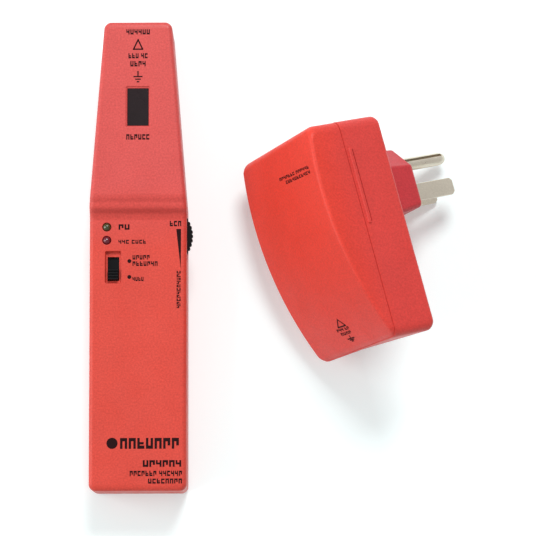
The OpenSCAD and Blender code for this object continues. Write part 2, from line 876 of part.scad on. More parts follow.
module neutral_blade() {
    color([0.8, 0.78, 0.74]) blade(1);
}

module hot_blade() {
    color([0.8, 0.78, 0.74]) blade(-1);
}

module ground_pin() {
    r = ground_d / 2;
    tip = blade_tip_x + ground_extra;
    color([0.8, 0.78, 0.74])
        in_transmitter_frame()
            translate([0, ground_y, 0])
                difference() {
                    rotate([0, 90, 0])
                        rotate_extrude()
                            polygon(concat(
                                [[0, prong_tail_x], [neck_r, prong_tail_x], [neck_r, neck_end_x], [r, neck_end_x],
                                 [r, tip - 1.4]],
                                [for (a = [15 : 15 : 75]) [r - 1.4 + 1.4 * cos(a), tip - 1.4 + 1.4 * sin(a)]],
                                [[r - 1.4, tip], [0, tip]]));
                    // Seam where the sheet meets
                    translate([tip - 10.8, r * 0.62, r * 0.75]) rotate([-50, 0, 0]) cube([19, 0.45, 1.2], center = true);
                }
}

module prong_plate() {
    color([0.15, 0.14, 0.13])
        in_transmitter_frame()
            difference() {
                translate([(plate_x[0] + plate_x[1]) / 2, 0, 0])
                    along_x(plate_x[1] - plate_x[0]) boss_outline(8.2, 8.1, 21.1, 28.2);
                prong_slots(0);
            }
}

// ---------------------------------------------------------------- transmitter electronics

module transmitter_board() {
    color([0.12, 0.42, 0.2])
        in_transmitter_frame()
            difference() {
                translate([tx_board_x, -35, -16]) cube([tx_board_t, 71, 32]);
                for (p = tx_board_posts) tx_screw_hole(p, tx_board_x - 1, 0, 1.2);
            }
}

module film_capacitor() {
    color([0.75, 0.6, 0.15])
        in_transmitter_frame() translate([tx_board_x - 12, 2, -12]) cube([12, 18, 8]);
}

module electrolytic_capacitor() {
    color([0.1, 0.12, 0.3])
        in_transmitter_frame() translate([tx_board_x - 12, 17, 7]) rotate([0, 90, 0]) cylinder(h = 12, r = 5);
}

module power_resistors() {
    color([0.85, 0.84, 0.8])
        in_transmitter_frame()
            for (z = [-9, 9])
                translate([tx_board_x - 4.5, -14, z]) rotate([90, 0, 0]) cylinder(h = 11, r = 2.4, center = true);
}

module pulse_transistor() {
    color([0.15, 0.15, 0.16])
        in_transmitter_frame() {
            translate([tx_board_x - 4.4, -10.5, -3]) cube([4.4, 10, 9]);
            translate([tx_board_x - 1.3, -10, 6]) cube([1.3, 9, 4]);
        }
}

module timer_chip() {
    color([0.12, 0.12, 0.13])
        in_transmitter_frame() translate([tx_board_x, 5.5, 5]) rotate([0, -90, 0]) chip([6.4, 9.6, 3.3], 4);
}

module glass_fuse() {
    color([0.8, 0.85, 0.85])
        in_transmitter_frame()
            translate([tx_board_x - 4.2, 27.5, 0]) cylinder(h = 20, r = 2.6, center = true);
}

module fuse_clips() {
    color([0.75, 0.74, 0.7])
        in_transmitter_frame()
            for (s = [-1, 1])
                difference() {
                    translate([tx_board_x - 3, 27.5, s * 8]) cube([6, 7, 4], center = true);
                    translate([tx_board_x - 4.2, 27.5, s * 8]) cylinder(h = 5, r = 2.6, center = true);
                    translate([tx_board_x - 7, 27.5, s * 8]) cube([5.6, 4.2, 5], center = true);
                }
}

// Leads from the prongs' tails to the board
module hot_lead() {
    color([0.07, 0.07, 0.07])
        in_transmitter_frame()
            wire([[prong_tail_x - 0.7, blades_y, -6.35], [-3, 9.5, -7.8], [-9, 5, -10], [tx_board_x + 1.9, 3, -10]], 0.8);
}

module neutral_lead() {
    color([0.9, 0.9, 0.88])
        in_transmitter_frame()
            wire([[prong_tail_x - 0.7, blades_y, 6.35], [-3, 9.5, 7.8], [-9, 5, 10], [tx_board_x + 1.9, 3, 10]], 0.8);
}

module ground_lead() {
    color([0.1, 0.45, 0.15])
        in_transmitter_frame()
            wire([[prong_tail_x - 0.7, ground_y, 0], [-3, 23, 3], [-9, 20, 5], [tx_board_x + 1.9, 19, 5]], 0.8);
}

module transmitter_screws() {
    color([0.7, 0.7, 0.7])
        in_transmitter_frame()
            for (p = tx_posts)
                translate([-0.8, p[0], p[1]]) rotate([0, -90, 0])
                    screw(2.5, 1.6, pilot_r, p[0] < 0 ? 19 : 22);
}

module transmitter_board_screws() {
    color([0.75, 0.75, 0.72])
        in_transmitter_frame()
            for (p = tx_board_posts)
                translate([tx_board_x - 1.4, p[0], p[1]]) rotate([0, 90, 0]) screw(2, 1.4, 1, 8);
}

front_case();
back_case();
battery_door();
signal_window();
signal_lamp();
power_lamp();
low_battery_lamp();
lamp_legs();
switch_frame();
switch_knob();
switch_pins();
thumbwheel();
thumbwheel_screw();
potentiometer_shaft();
potentiometer_body();
potentiometer_pins();
receiver_board();
ferrite_rod();
coil_bobbin();
coil_winding();
coil_leads();
buzzer();
receiver_chips();
receiver_capacitors();
receiver_resistors();
battery();
battery_terminals();
battery_snap();
red_battery_lead();
black_battery_lead();
battery_pad();
case_screws();
board_screws();
transmitter_front_cover();
transmitter_rear_case();
neutral_blade();
hot_blade();
ground_pin();
prong_plate();
transmitter_board();
film_capacitor();
electrolytic_capacitor();
power_resistors();
pulse_transistor();
timer_chip();
glass_fuse();
fuse_clips();
hot_lead();
neutral_lead();
ground_lead();
transmitter_screws();
transmitter_board_screws();
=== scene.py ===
"""Circuit breaker finder: receiver on its back beside the plug-in transmitter.

Shapes are drawn in millimetres and brought to metres as each piece is finished.
"""

import json
import math
import random

import bmesh
import bpy
from mathutils import Matrix, Vector


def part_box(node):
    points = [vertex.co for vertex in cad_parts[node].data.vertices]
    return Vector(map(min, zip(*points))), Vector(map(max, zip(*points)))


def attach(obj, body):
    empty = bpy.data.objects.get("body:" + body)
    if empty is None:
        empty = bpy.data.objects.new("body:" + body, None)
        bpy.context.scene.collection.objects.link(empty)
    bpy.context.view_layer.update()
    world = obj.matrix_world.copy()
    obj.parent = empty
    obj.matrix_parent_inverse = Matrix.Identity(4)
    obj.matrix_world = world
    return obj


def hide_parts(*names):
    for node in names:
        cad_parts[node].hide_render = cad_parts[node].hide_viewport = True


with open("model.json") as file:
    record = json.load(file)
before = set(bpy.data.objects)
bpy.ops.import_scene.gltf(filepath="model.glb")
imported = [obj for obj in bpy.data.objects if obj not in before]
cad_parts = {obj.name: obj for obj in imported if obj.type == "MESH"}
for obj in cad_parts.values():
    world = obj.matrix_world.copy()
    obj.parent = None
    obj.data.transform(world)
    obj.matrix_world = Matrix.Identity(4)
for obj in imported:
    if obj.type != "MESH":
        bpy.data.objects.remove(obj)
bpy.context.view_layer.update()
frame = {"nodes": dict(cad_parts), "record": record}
random.seed(11)

MM = 0.001
scene = bpy.context.scene


# ---------------------------------------------------------------- measurements

def box_mm(node):
    """Lower and upper corner of a CAD node, in millimetres."""
    low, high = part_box(node)
    return Vector(low) / MM, Vector(high) / MM


front_low, front_high = box_mm("front_case")
door_high = box_mm("battery_door")[1]
board_high = box_mm("receiver_board")[1]
window_low, window_high = box_mm("signal_window")
knob_low, knob_high = box_mm("switch_knob")
wheel_low, wheel_high = box_mm("thumbwheel")
green_low, green_high = box_mm("power_lamp")
red_low, red_high = box_mm("low_battery_lamp")

# Larger than the object, for cutters that reach past it
FAR = 120

# Receiver: x runs across it, y along it towards the sensor, z up from its back
HALF_LEN = front_high.y
HALF_W = front_high.x
HALF_TIP = 12.3
PARTING = front_low.z
TOP = front_high.z
STEP = 4
HANDLE_TOP = TOP - STEP
TAPER_Y = 18
EDGE = 2.4
TOP_EDGE = 1.7
WALL = 1.9
CEILING = HANDLE_TOP - WALL
SENSOR_CEILING = TOP - WALL
BOARD_TOP = board_high.z

# Screws: post, pilot hole, clearance hole and head hole radii
BOARD_POSTS = [(-10, 42), (10, 42), (-11, -19.5), (11, -19.5)]
BOARD_POST_R = 2.2
CASE_POSTS = [(0, HALF_LEN - 5), (-12.6, -26.4), (12.6, -26.4)]
CASE_POST_R = 2.8
PILOT_R = 1.15
SHANK_HOLE_R = 1.35
HEAD_HOLE_R = 2.3
HEAD_HOLE_DEPTH = 2.4

# Wall between the battery and the board, with a notch for the leads
DIVIDER_Y = (-29.6, -28.2)
NOTCH_HALF_W = 5

# Battery door: panel, side tongues, end wall and finger grooves
DOOR_HALF_W = 12.8
DOOR_THICK = 2
DOOR_TONGUE = 1.5
DOOR_END_TOP = 9.5
DOOR_GAP = 0.2
GROOVE_Y = -76
GROOVE_PITCH = 2

# Controls on the front face
WHEEL = Vector(((wheel_low.x + wheel_high.x) / 2, (wheel_low.y + wheel_high.y) / 2, wheel_low.z))
WHEEL_R = (wheel_high.y - wheel_low.y) / 2
WINDOW_Y = (window_low.y + window_high.y) / 2
WINDOW_SIZE = (7.7, 13.8)
LAMP_X = (green_low.x + green_high.x) / 2
LAMP_HOLE_R = 1.6
SWITCH_X = (knob_low.x + knob_high.x) / 2
SLOT_Y = -4.95
SLOT_SIZE = (4.15, 8.65)
SHIELD_Y = (knob_low.y + knob_high.y) / 2
SHIELD_SIZE = (knob_high.x - knob_low.x, knob_high.y - knob_low.y)
THUMB_Y = SHIELD_Y + 0.15

# Transmitter, in its own frame: x runs out along the prongs, y along the housing
# towards the ground pin, z out of the side that faces up
pin_mount = next(m for m in frame["record"]["mounts"] if m["name"] == "ground_pin")
OUT = Vector(pin_mount["axis"]).normalized()
ALONG = Vector((-OUT.y, OUT.x, 0)).normalized()
UP = OUT.cross(ALONG)
PIN_MID = 29.55
PIN_Y = 24.2
TX_ORIGIN = Vector(pin_mount["pos_m"]) / MM - OUT * PIN_MID - ALONG * PIN_Y
TX = Matrix((
    (OUT.x, ALONG.x, UP.x, TX_ORIGIN.x),
    (OUT.y, ALONG.y, UP.y, TX_ORIGIN.y),
    (OUT.z, ALONG.z, UP.z, TX_ORIGIN.z),
    (0, 0, 0, 1),
))
TX_REAR = 16.8
TX_HALF_H = 39.5
TX_HALF_W = 27.25
TX_ARC_R = 128
TX_ARC = Vector((97.05, 17.5))
TX_WALL = 2
COVER_SHRINK = 0.12
TX_POSTS = [(-32, -20), (32, -20), (-32, 20), (32, 20)]
TX_POST_R = 3
TX_BOARD_POSTS = [(-24, 0), (31, 0)]
TX_BOARD_POST_R = 2.6
TX_SHANK_HOLE_R = 1.4
TX_HEAD_HOLE_R = 2.8
# Draft of the low end: how far it is drawn in at mid width, and how much less per mm of z
REAR_LEAN = (1.05, 0.064)
FRONT_LEAN = (0.2, 0.03)
# Radii of the transmitter's long upper and lower edges, corners and front fillets
TX_UPPER_EDGE = 1.15
TX_LOWER_EDGE = 2.2
TX_CORNER = 3.6
TX_FILLET = 3.4
TX_REAR_FILLET = 2.0
# Snap rib on each long side, and the groove beside it
RIB_AT = (-15.1, 15)
RIB_SIZE = (1.5, 28)
RIB_GROOVE = 0.36

BOSS_LEN = 19.8
BLADES_Y = 12.3
BLADE_TIP = 36.8
BLADE_Z = 6.35
BLADE_HALF_W = 3.175
BLADE_HALF_T = 0.75
PIN_R = 2.4
PIN_NECK_R = 2.1
PIN_TIP = 40.2


# ---------------------------------------------------------------- mesh helpers

def add(name, verts, faces):
    mesh = bpy.data.meshes.new(name)
    mesh.from_pydata([tuple(v) for v in verts], [], faces)
    bm = bmesh.new()
    bm.from_mesh(mesh)
    bmesh.ops.recalc_face_normals(bm, faces=bm.faces)
    bm.to_mesh(mesh)
    bm.free()
    ob = bpy.data.objects.new(name, mesh)
    scene.collection.objects.link(ob)
    return ob


def loft(name, rings):
    """Closed skin through rings that all have the same number of points."""
    count = len(rings[0])
    verts = [p for ring in rings for p in ring]
    faces = []
    for i in range(len(rings) - 1):
        for k in range(count):
            k2 = (k + 1) % count
            near, far = i * count, (i + 1) * count
            faces.append((near + k, near + k2, far + k2, far + k))
    faces.append(tuple(range(count)))
    faces.append(tuple((len(rings) - 1) * count + k for k in range(count)))
    return add(name, verts, faces)


def block(name, low, high):
    x0, y0, z0 = low
    x1, y1, z1 = high
    ring = [(x0, y0), (x1, y0), (x1, y1), (x0, y1)]
    return loft(name, [[(x, y, z0) for x, y in ring], [(x, y, z1) for x, y in ring]])


def slab(axis, low, high):
    """Block that is limited from low to high along one axis and reaches past everything else."""
    corners = [-FAR] * 3, [FAR] * 3
    corners[0][axis] = low
    corners[1][axis] = high
    return block("slab", *corners)


def circle(cx, cy, r, count):
    turns = [math.tau * k / count for k in range(count)]
    return [(cx + r * math.cos(a), cy + r * math.sin(a)) for a in turns]


def arc(cx, cy, r, a0, a1, steps=8):
    turns = [math.radians(a0 + (a1 - a0) * i / steps) for i in range(steps + 1)]
    return [(cx + r * math.cos(a), cy + r * math.sin(a)) for a in turns]


def smooth(points, steps):
    """Points of one smooth curve through the given ones, steps to each span."""
    points = [Vector(p) for p in points]
    out = []
    for i in range(1, len(points) - 2):
        before, start, end, after = points[i - 1:i + 3]
        for k in range(steps):
            t = k / steps
            bend = 2 * before - 5 * start + 4 * end - after
            twist = 3 * start - before - 3 * end + after
            out.append(start + 0.5 * t * (end - before + t * (bend + t * twist)))
    out.append(points[-2])
    return out


def revolve(name, profile, at=(0, 0), count=40):
    """Turned piece: profile is a list of (radius, z) from bottom to top."""
    rings = []
    for r, z in profile:
        rings.append([(x, y, z) for x, y in circle(*at, max(r, 0.01), count)])
    return loft(name, rings)


def cylinder(name, at, z0, z1, r, count=40):
    return revolve(name, [(r, z0), (r, z1)], at, count)


def applied(ob):
    graph = bpy.context.evaluated_depsgraph_get()
    mesh = bpy.data.meshes.new_from_object(ob.evaluated_get(graph))
    ob.modifiers.clear()
    old = ob.data
    ob.data = mesh
    bpy.data.meshes.remove(old)


def combine(ob, tool, how):
    m = ob.modifiers.new("combine", "BOOLEAN")
    m.operation = how
    m.solver = "EXACT"
    m.object = tool
    applied(ob)
    mesh = tool.data
    bpy.data.objects.remove(tool)
    bpy.data.meshes.remove(mesh)
    return ob


def cut(ob, *tools):
    for tool in tools:
        combine(ob, tool, "DIFFERENCE")
    return ob


def fuse(ob, *tools):
    for tool in tools:
        combine(ob, tool, "UNION")
    return ob


def common(ob, tool):
    return combine(ob, tool, "INTERSECT")


def joined(name, obs):
    """One object out of several separate ones, with no boolean."""
    bm = bmesh.new()
    for o in obs:
        bm.from_mesh(o.data)
        mesh = o.data
        bpy.data.objects.remove(o)
        bpy.data.meshes.remove(mesh)
    mesh = bpy.data.meshes.new(name)
    bm.to_mesh(mesh)
    bm.free()
    ob = bpy.data.objects.new(name, mesh)
    scene.collection.objects.link(ob)
    return ob


def cylinders(name, places, z0, z1, r, count=40):
    return joined(name, [cylinder(name, p, z0, z1, r, count) for p in places])


def moved(ob, matrix):
    ob.data.transform(matrix)
    return ob


def stand_x(ob):
    """Turns a piece drawn along z so that it runs along x."""
    return moved(ob, Matrix(((0, 0, 1, 0), (1, 0, 0, 0), (0, 1, 0, 0), (0, 0, 0, 1))))


def weigh_edges(ob, angle, where):
    """Marks for rounding the sharp edges whose middle passes where()."""
    bm = bmesh.new()
    bm.from_mesh(ob.data)
    weights = bm.edges.layers.float.new("bevel_weight_edge")
    for e in bm.edges:
        mid = (e.verts[0].co + e.verts[1].co) / 2
        if len(e.link_faces) == 2 and e.calc_face_angle() > math.radians(angle) and where(mid):
            e[weights] = 1.0
    bm.to_mesh(ob.data)
    bm.free()


def finish_piece(ob, body, nodes, slot_name, bevel=0.0, segments=2, angle=38, where=None):
    """Rounds edges, smooths, brings to metres, gives the material, hangs the piece on its body and hides
    the CAD nodes it stands for.
    """
    if bevel:
        weigh_edges(ob, angle, where or (lambda mid: True))
        m = ob.modifiers.new("edges", "BEVEL")
        m.width = bevel
        m.segments = segments
        m.limit_method = "WEIGHT"
        m.use_clamp_overlap = False
        m.miter_outer = "MITER_ARC"
        applied(ob)
    ob.data.shade_smooth()
    ob.data.set_sharp_from_angle(angle=math.radians(42))
    m = ob.modifiers.new("normals", "WEIGHTED_NORMAL")
    m.keep_sharp = True
    m.weight = 60
    applied(ob)
    ob.data.transform(Matrix.Scale(MM, 4))
    ob.data.materials.clear()
    ob.data.materials.append(materials[slot_name])
    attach(ob, body)
    if nodes:
        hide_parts(*nodes)


# ---------------------------------------------------------------- materials

def link(tree, a, b):
    tree.links.new(a, b)


def node(tree, kind, **values):
    """New shader node with its plain inputs set; a name's spaces are written as _."""
    made = tree.nodes.new("ShaderNode" + kind)
    for name, value in values.items():
        made.inputs[name.replace("_", " ")].default_value = value
    return made


def noise_at(tree, vector, scale, detail=4.0, rough=0.55):
    n = node(tree, "TexNoise", Scale=scale, Detail=detail, Roughness=rough)
    link(tree, vector, n.inputs["Vector"])
    return n.outputs["Fac"]


def ramp(tree, fac, stops):
    r = node(tree, "ValToRGB")
    els = r.color_ramp.elements
    while len(els) < len(stops):
        els.new(0.5)
    for e, (pos, value) in zip(els, stops):
        e.position = pos
        e.color = (*value, 1)
    link(tree, fac, r.inputs["Fac"])
    return r.outputs["Color"]


def blend(tree, how, a, b):
    m = node(tree, "Mix")
    m.data_type = "RGBA"
    m.blend_type = how
    link(tree, a, m.inputs["A"])
    link(tree, b, m.inputs["B"])
    return m


def mix(tree, fac, a, b):
    m = blend(tree, "MIX", a, b)
    link(tree, fac, m.inputs["Factor"])
    return m.outputs["Result"]


def multiplied(tree, a, b):
    m = blend(tree, "MULTIPLY", a, b)
    m.inputs["Factor"].default_value = 1.0
    return m.outputs["Result"]


def map_range(tree, value, low, high, to_low=0.0, to_high=1.0):
    m = node(tree, "MapRange", From_Min=low, From_Max=high, To_Min=to_low, To_Max=to_high)
    link(tree, value, m.inputs["Value"])
    return m.outputs["Result"]


def dot(tree, a):
    m = node(tree, "VectorMath")
    m.operation = "DOT_PRODUCT"
    link(tree, a, m.inputs[0])
    return m


def waves(tree, vector, direction, scale, distortion):
    wave = node(tree, "TexWave", Scale=scale, Distortion=distortion)
    wave.bands_direction = direction
    link(tree, vector, wave.inputs["Vector"])
    return wave.outputs["Fac"]


def grey(value):
    return (value, value, value)


def scaled(color, k):
    return tuple(min(1.0, c * k) for c in color)


def edge_wear_and_highlight_mask(tree, vector):
    """White in patches along the sharp outer edges, where the surface wears first and where highlight is
    painted along the rounded edges.
    """
    geometry = node(tree, "NewGeometry")
    softened = node(tree, "Bevel", Radius=0.4 * MM)
    softened.samples = 4
    facing = dot(tree, softened.outputs["Normal"])
    link(tree, geometry.outputs["Normal"], facing.inputs[1])
    edges = ramp(tree, facing.outputs["Value"], [(0.90, grey(1)), (0.995, grey(0))])
    patches = ramp(tree, noise_at(tree, vector, 240.0), [(0.35, grey(0.15)), (0.65, grey(0.75))])
    return multiplied(tree, edges, patches)


def surface(name, base, rough, other=None, grain=1500.0, bump=0.25, depth=0.00003, metallic=0.0,
            coat=0.0, transmission=0.0, wear_and_highlight=1.35, cloud=55.0, contrast=0.10, pattern=None,
            spread=0.08, subsurface=0.0, specular=0.5, glow=0.0):
    """Procedural finish: clouded and speckled colour, edges lightened in patches for wear and painted
    highlight, uneven gloss and a fine grain.
    """
    mat = bpy.data.materials.new(name)
    mat.use_nodes = True
    tree = mat.node_tree
    tree.nodes.clear()
    shader = node(tree, "BsdfPrincipled", Metallic=metallic, Coat_Weight=coat,
                  Transmission_Weight=transmission, Specular_IOR_Level=specular,
                  Subsurface_Weight=subsurface, Subsurface_Scale=MM,
                  Emission_Color=(1, 1, 1, 1), Emission_Strength=glow)
    link(tree, shader.outputs["BSDF"], node(tree, "OutputMaterial").inputs["Surface"])
    vector = node(tree, "TexCoord").outputs["Object"]
    other = other or scaled(base, 1 - 1.6 * contrast)
    clouds = noise_at(tree, vector, cloud, 5.0)
    speckle = noise_at(tree, vector, grain, 3.0, 0.6)
    broad = ramp(tree, clouds, [(0.3, other), (0.7, base)])
    fine = ramp(tree, speckle, [(0.32, grey(1 - contrast)), (0.68, grey(1))])
    colour = multiplied(tree, broad, fine)
    height = speckle
    if pattern:
        colour, height = pattern(tree, vector, colour, speckle)
    lighter = ramp(tree, clouds, [(0.3, grey(wear_and_highlight)), (0.7, grey(wear_and_highlight * 1.08))])
    worn_and_highlighted = multiplied(tree, colour, lighter)
    # Lighter edges: wear, and painted highlight on the rounded edges
    mask = edge_wear_and_highlight_mask(tree, vector)
    link(tree, mix(tree, mask, colour, worn_and_highlighted), shader.inputs["Base Color"])
    gloss = map_range(tree, noise_at(tree, vector, 130.0, 6.0), 0.3, 0.7,
                      max(rough - spread, 0.02), min(rough + spread, 1.0))
    link(tree, gloss, shader.inputs["Roughness"])
    lumps = node(tree, "Bump", Strength=bump, Distance=depth)
    link(tree, height, lumps.inputs["Height"])
    link(tree, lumps.outputs["Normal"], shader.inputs["Normal"])
    return mat


def traces(tree, vector, colour, speckle):
    """Lighter copper tracks under green lacquer."""
    brick = node(tree, "TexBrick", Scale=160.0, Mortar_Size=0.06, Color1=(0, 0, 0, 1),
                 Color2=(0, 0, 0, 1), Mortar=(1, 1, 1, 1))
    link(tree, vector, brick.inputs["Vector"])
    track = ramp(tree, speckle, [(0.3, (0.06, 0.30, 0.12)), (0.7, (0.09, 0.38, 0.16))])
    return mix(tree, brick.outputs["Color"], colour, track), brick.outputs["Color"]


def windings(tree, vector, colour, speckle):
    """Fine turns of wire side by side round the y axis, with painted shade in the valleys between turns."""
    turns = waves(tree, vector, "Y", 900.0, 0.6)
    valley_shade = ramp(tree, turns, [(0.05, (0.10, 0.03, 0.01)), (0.5, (0.62, 0.26, 0.10))])
    return mix(tree, speckle, valley_shade, colour), turns


def brushed(tree, vector, colour, speckle):
    """Drawn metal: long thin scratches."""
    lines = noise_at(tree, vector, 2600.0, 6.0, 0.7)
    streak = ramp(tree, lines, [(0.3, (0.64, 0.58, 0.49)), (0.7, (0.86, 0.79, 0.66))])
    return mix(tree, speckle, colour, streak), lines


def bands(tree, vector, colour, speckle):
    """Painted rings of a resistor or a printed sleeve."""
    rings = waves(tree, vector, "X", 190.0, 0.2)
    ring = ramp(tree, rings, [(0.0, (0.30, 0.07, 0.03)), (0.22, (0.62, 0.42, 0.22))])
    return mix(tree, speckle, ring, colour), speckle


def colour_drift_along(axis, stops):
    """Colour that drifts along an axis, painted sheen on the red shells; stops are (millimetres, factors of
    the colour).
    """
    start, end = stops[0][0], stops[-1][0]

    def pattern(tree, vector, colour, speckle):
        along = dot(tree, vector)
        along.inputs[1].default_value = axis
        place = map_range(tree, along.outputs["Value"], start * MM, end * MM)
        sheen_drift = ramp(tree, place, [((at - start) / (end - start), f) for at, f in stops])
        return multiplied(tree, colour, sheen_drift), speckle
    return pattern


CASE_RED = (0.68, 0.086, 0.079)
# Painted sheen: the sensor head pinker with painted reflection, the handle more orange
CASE_PAINTED_SHEEN = colour_drift_along((0, 1, 0), [(2, (1, 0.80, 0.60)), (26, (0.95, 0.98, 0.97))])
COVER_RED = (0.772, 0.051, 0.0461)
# Painted sheen: the curved front more orange, the rear case pinker with painted reflection; the boss darker
# and bluer
COVER_FRONT = (1, 0.845, 0.43)
COVER_REAR = (0.907, 1, 0.898)
BOSS_DARKER_BLUER = (0.74, 0.69, 0.96)
TX_AT = TX_ORIGIN.dot(OUT)
COVER_PAINTED_SHEEN = colour_drift_along(OUT, [
    (TX_AT - 32, COVER_FRONT),
    (TX_AT - 14, COVER_REAR),
    (TX_AT - 0.6, COVER_REAR),
    (TX_AT + 0.6, BOSS_DARKER_BLUER),
    (TX_AT + 20, BOSS_DARKER_BLUER),
])
LENS = dict(rough=0.10, coat=0.7, bump=0.02, contrast=0.2, wear_and_highlight=2.0, spread=0.05, transmission=0.15)
LOOKS = {
    "red_case": dict(base=CASE_RED, rough=0.42, other=scaled(CASE_RED, 0.92), bump=0.5, contrast=0.24,
                     wear_and_highlight=1.2, specular=0.25, pattern=CASE_PAINTED_SHEEN),
    "red_cover": dict(base=COVER_RED, rough=0.46, other=scaled(COVER_RED, 0.92), bump=0.5,
                      contrast=0.22, wear_and_highlight=1.15, specular=0.35, pattern=COVER_PAINTED_SHEEN),
    "black_plastic": dict(base=(0.005, 0.005, 0.006), rough=0.45, contrast=0.2, wear_and_highlight=1.8,
                          specular=0.12),
    "smoked_window": dict(base=(0.018, 0.010, 0.012), rough=0.30, bump=0.02, contrast=0.3, wear_and_highlight=2.5,
                          spread=0.04, specular=0.2),
    "green_lens": dict(base=(0.070, 0.080, 0.016), **LENS),
    "red_lens": dict(base=(0.17, 0.004, 0.022), **LENS),
    "nickel": dict(base=(0.84, 0.76, 0.62), rough=0.34, metallic=0.75, bump=0.12, contrast=0.12,
                   pattern=brushed),
    "zinc": dict(base=(0.56, 0.57, 0.60), rough=0.34, metallic=1.0, bump=0.15, contrast=0.15,
                 wear_and_highlight=1.3, pattern=brushed),
    "blue_sleeve": dict(base=(0.02, 0.05, 0.20), rough=0.38, contrast=0.15, wear_and_highlight=1.8),
    "circuit_board": dict(base=(0.02, 0.17, 0.06), rough=0.36, contrast=0.15, wear_and_highlight=1.7,
                          pattern=traces, coat=0.2),
    "ferrite": dict(base=(0.045, 0.042, 0.043), rough=0.62, contrast=0.3, bump=0.6, wear_and_highlight=2.2),
    "bobbin_nylon": dict(base=(0.72, 0.68, 0.56), rough=0.45, contrast=0.08, subsurface=0.1),
    "copper_wire": dict(base=(0.62, 0.26, 0.10), rough=0.30, metallic=0.9, contrast=0.2,
                        pattern=windings, bump=0.5),
    "chip_epoxy": dict(base=(0.018, 0.018, 0.020), rough=0.60, contrast=0.25, wear_and_highlight=2.6, bump=0.5),
    "resistor_body": dict(base=(0.62, 0.46, 0.28), rough=0.42, contrast=0.1, pattern=bands),
    "battery_jacket": dict(base=(0.030, 0.032, 0.038), rough=0.36, metallic=0.4, contrast=0.2,
                           wear_and_highlight=2.4),
    "black_vinyl": dict(base=(0.014, 0.013, 0.013), rough=0.55, contrast=0.25, wear_and_highlight=2.2),
    "red_insulation": dict(base=(0.45, 0.012, 0.010), rough=0.40, contrast=0.12),
    "black_insulation": dict(base=(0.012, 0.012, 0.012), rough=0.42, contrast=0.2, wear_and_highlight=2.4),
    "white_insulation": dict(base=(0.74, 0.73, 0.70), rough=0.42, contrast=0.07),
    "green_insulation": dict(base=(0.012, 0.19, 0.030), rough=0.42, contrast=0.12),
    "foam": dict(base=(0.022, 0.022, 0.024), rough=0.90, contrast=0.4, bump=1.0, depth=0.0002,
                 grain=900.0, wear_and_highlight=1.8),
    "yellow_film": dict(base=(0.58, 0.34, 0.03), rough=0.34, wear_and_highlight=1.3),
    "fuse_glass": dict(base=(0.80, 0.88, 0.88), rough=0.06, contrast=0.05, wear_and_highlight=1.05, bump=0.02,
                       transmission=0.8, spread=0.03),
    "printed_ink": dict(base=(0.020, 0.003, 0.004), rough=0.70, contrast=0.2, wear_and_highlight=1.2, bump=0.1,
                        specular=0.12),
    "floor": dict(base=(0.76, 0.87, 0.87), rough=0.85, contrast=0.01, wear_and_highlight=1.0, bump=0.02, cloud=3.0,
                  spread=0.02, specular=0.1, glow=0.25),
}
materials = {slot: surface(slot + "_finish", **look) for slot, look in LOOKS.items()}


# ---------------------------------------------------------------- receiver shells

def half_width(y):
    """Half the receiver's width at y: straight handle, then the taper to the sensor's tip."""
    if y <= TAPER_Y:
        return HALF_W
    return HALF_W + (HALF_TIP - HALF_W) * (y - TAPER_Y) / (HALF_LEN - TAPER_Y)


def section(y, half, z0, z1, r, low_r):
    """Upright outline at y, rounded by r above and low_r below; short flats border each corner."""
    flat = 0.12
    ring = [(half, z1 - r - flat)] + arc(half - r, z1 - r, r, 0, 90) + [(half - r - flat, z1)]
    ring += [(-half + r + flat, z1)] + arc(-half + r, z1 - r, r, 90, 180) + [(-half, z1 - r - flat)]
    ring += [(-half, z0 + low_r + flat)] + arc(-half + low_r, z0 + low_r, low_r, 180, 270)
    ring += [(-half + low_r + flat, z0), (half - low_r - flat, z0)]
    ring += arc(half - low_r, z0 + low_r, low_r, 270, 360) + [(half, z0 + low_r + flat)]
    return [(x, y, z) for x, z in ring]


# Side profile of the step, as (y, height above the handle's face): a hollow curve up to
# the ledge, then a softer rise to the sensor's face
STEP_CURVE = [(12.1, 0), (12.5, 0.03), (13.3, 0.16), (14.5, 0.62), (15.4, 1.34), (16.2, 2.2),
              (17.1, 2.77), (18.1, 2.97), (18.9, 3.07), (19.7, 3.41), (20.5, 3.81), (21.4, 3.985),
              (21.9, STEP), (22.4, STEP)]


def rounded_end(sign, top):
    """Sections that close one end of the receiver, from the end face inwards."""
    steps = 8
    out = []
    for i in range(steps, 0, -1):
        a = math.radians(90 * i / steps)
        inset = EDGE * (1 - math.cos(a))
        r = max(EDGE - inset, 0.02)
        y = sign * (HALF_LEN - EDGE * (1 - math.sin(a)))
        out.append(section(y, half_width(y) - inset, inset, top - 0.7 * inset, min(r, TOP_EDGE), r))
    return out


def receiver_skin(name):
    """Whole outer form of the receiver, ends and long edges rounded."""
    flat = 0.15
    levels = [(-HALF_LEN + EDGE, HANDLE_TOP), (-HALF_LEN + EDGE + flat, HANDLE_TOP), (-12, HANDLE_TOP)]
    levels += [(y, HANDLE_TOP + min(rise, STEP)) for y, rise in smooth(STEP_CURVE, 2)]
    levels += [(24, TOP), (HALF_LEN - EDGE - flat, TOP), (HALF_LEN - EDGE, TOP)]
    rings = rounded_end(-1, HANDLE_TOP)
    rings += [section(y, half_width(y), 0, z, TOP_EDGE, EDGE) for y, z in levels]
    rings += reversed(rounded_end(1, TOP))
    return loft(name, rings)


def receiver_room(name, z0):
    room_r = 0.7
    levels = [(-HALF_LEN + WALL, CEILING), (TAPER_Y + 0.8, CEILING),
              (TAPER_Y + 1.6, SENSOR_CEILING), (HALF_LEN - WALL, SENSOR_CEILING)]
    return loft(name, [section(y, half_width(y) - WALL, z0, z, room_r, room_r) for y, z in levels])


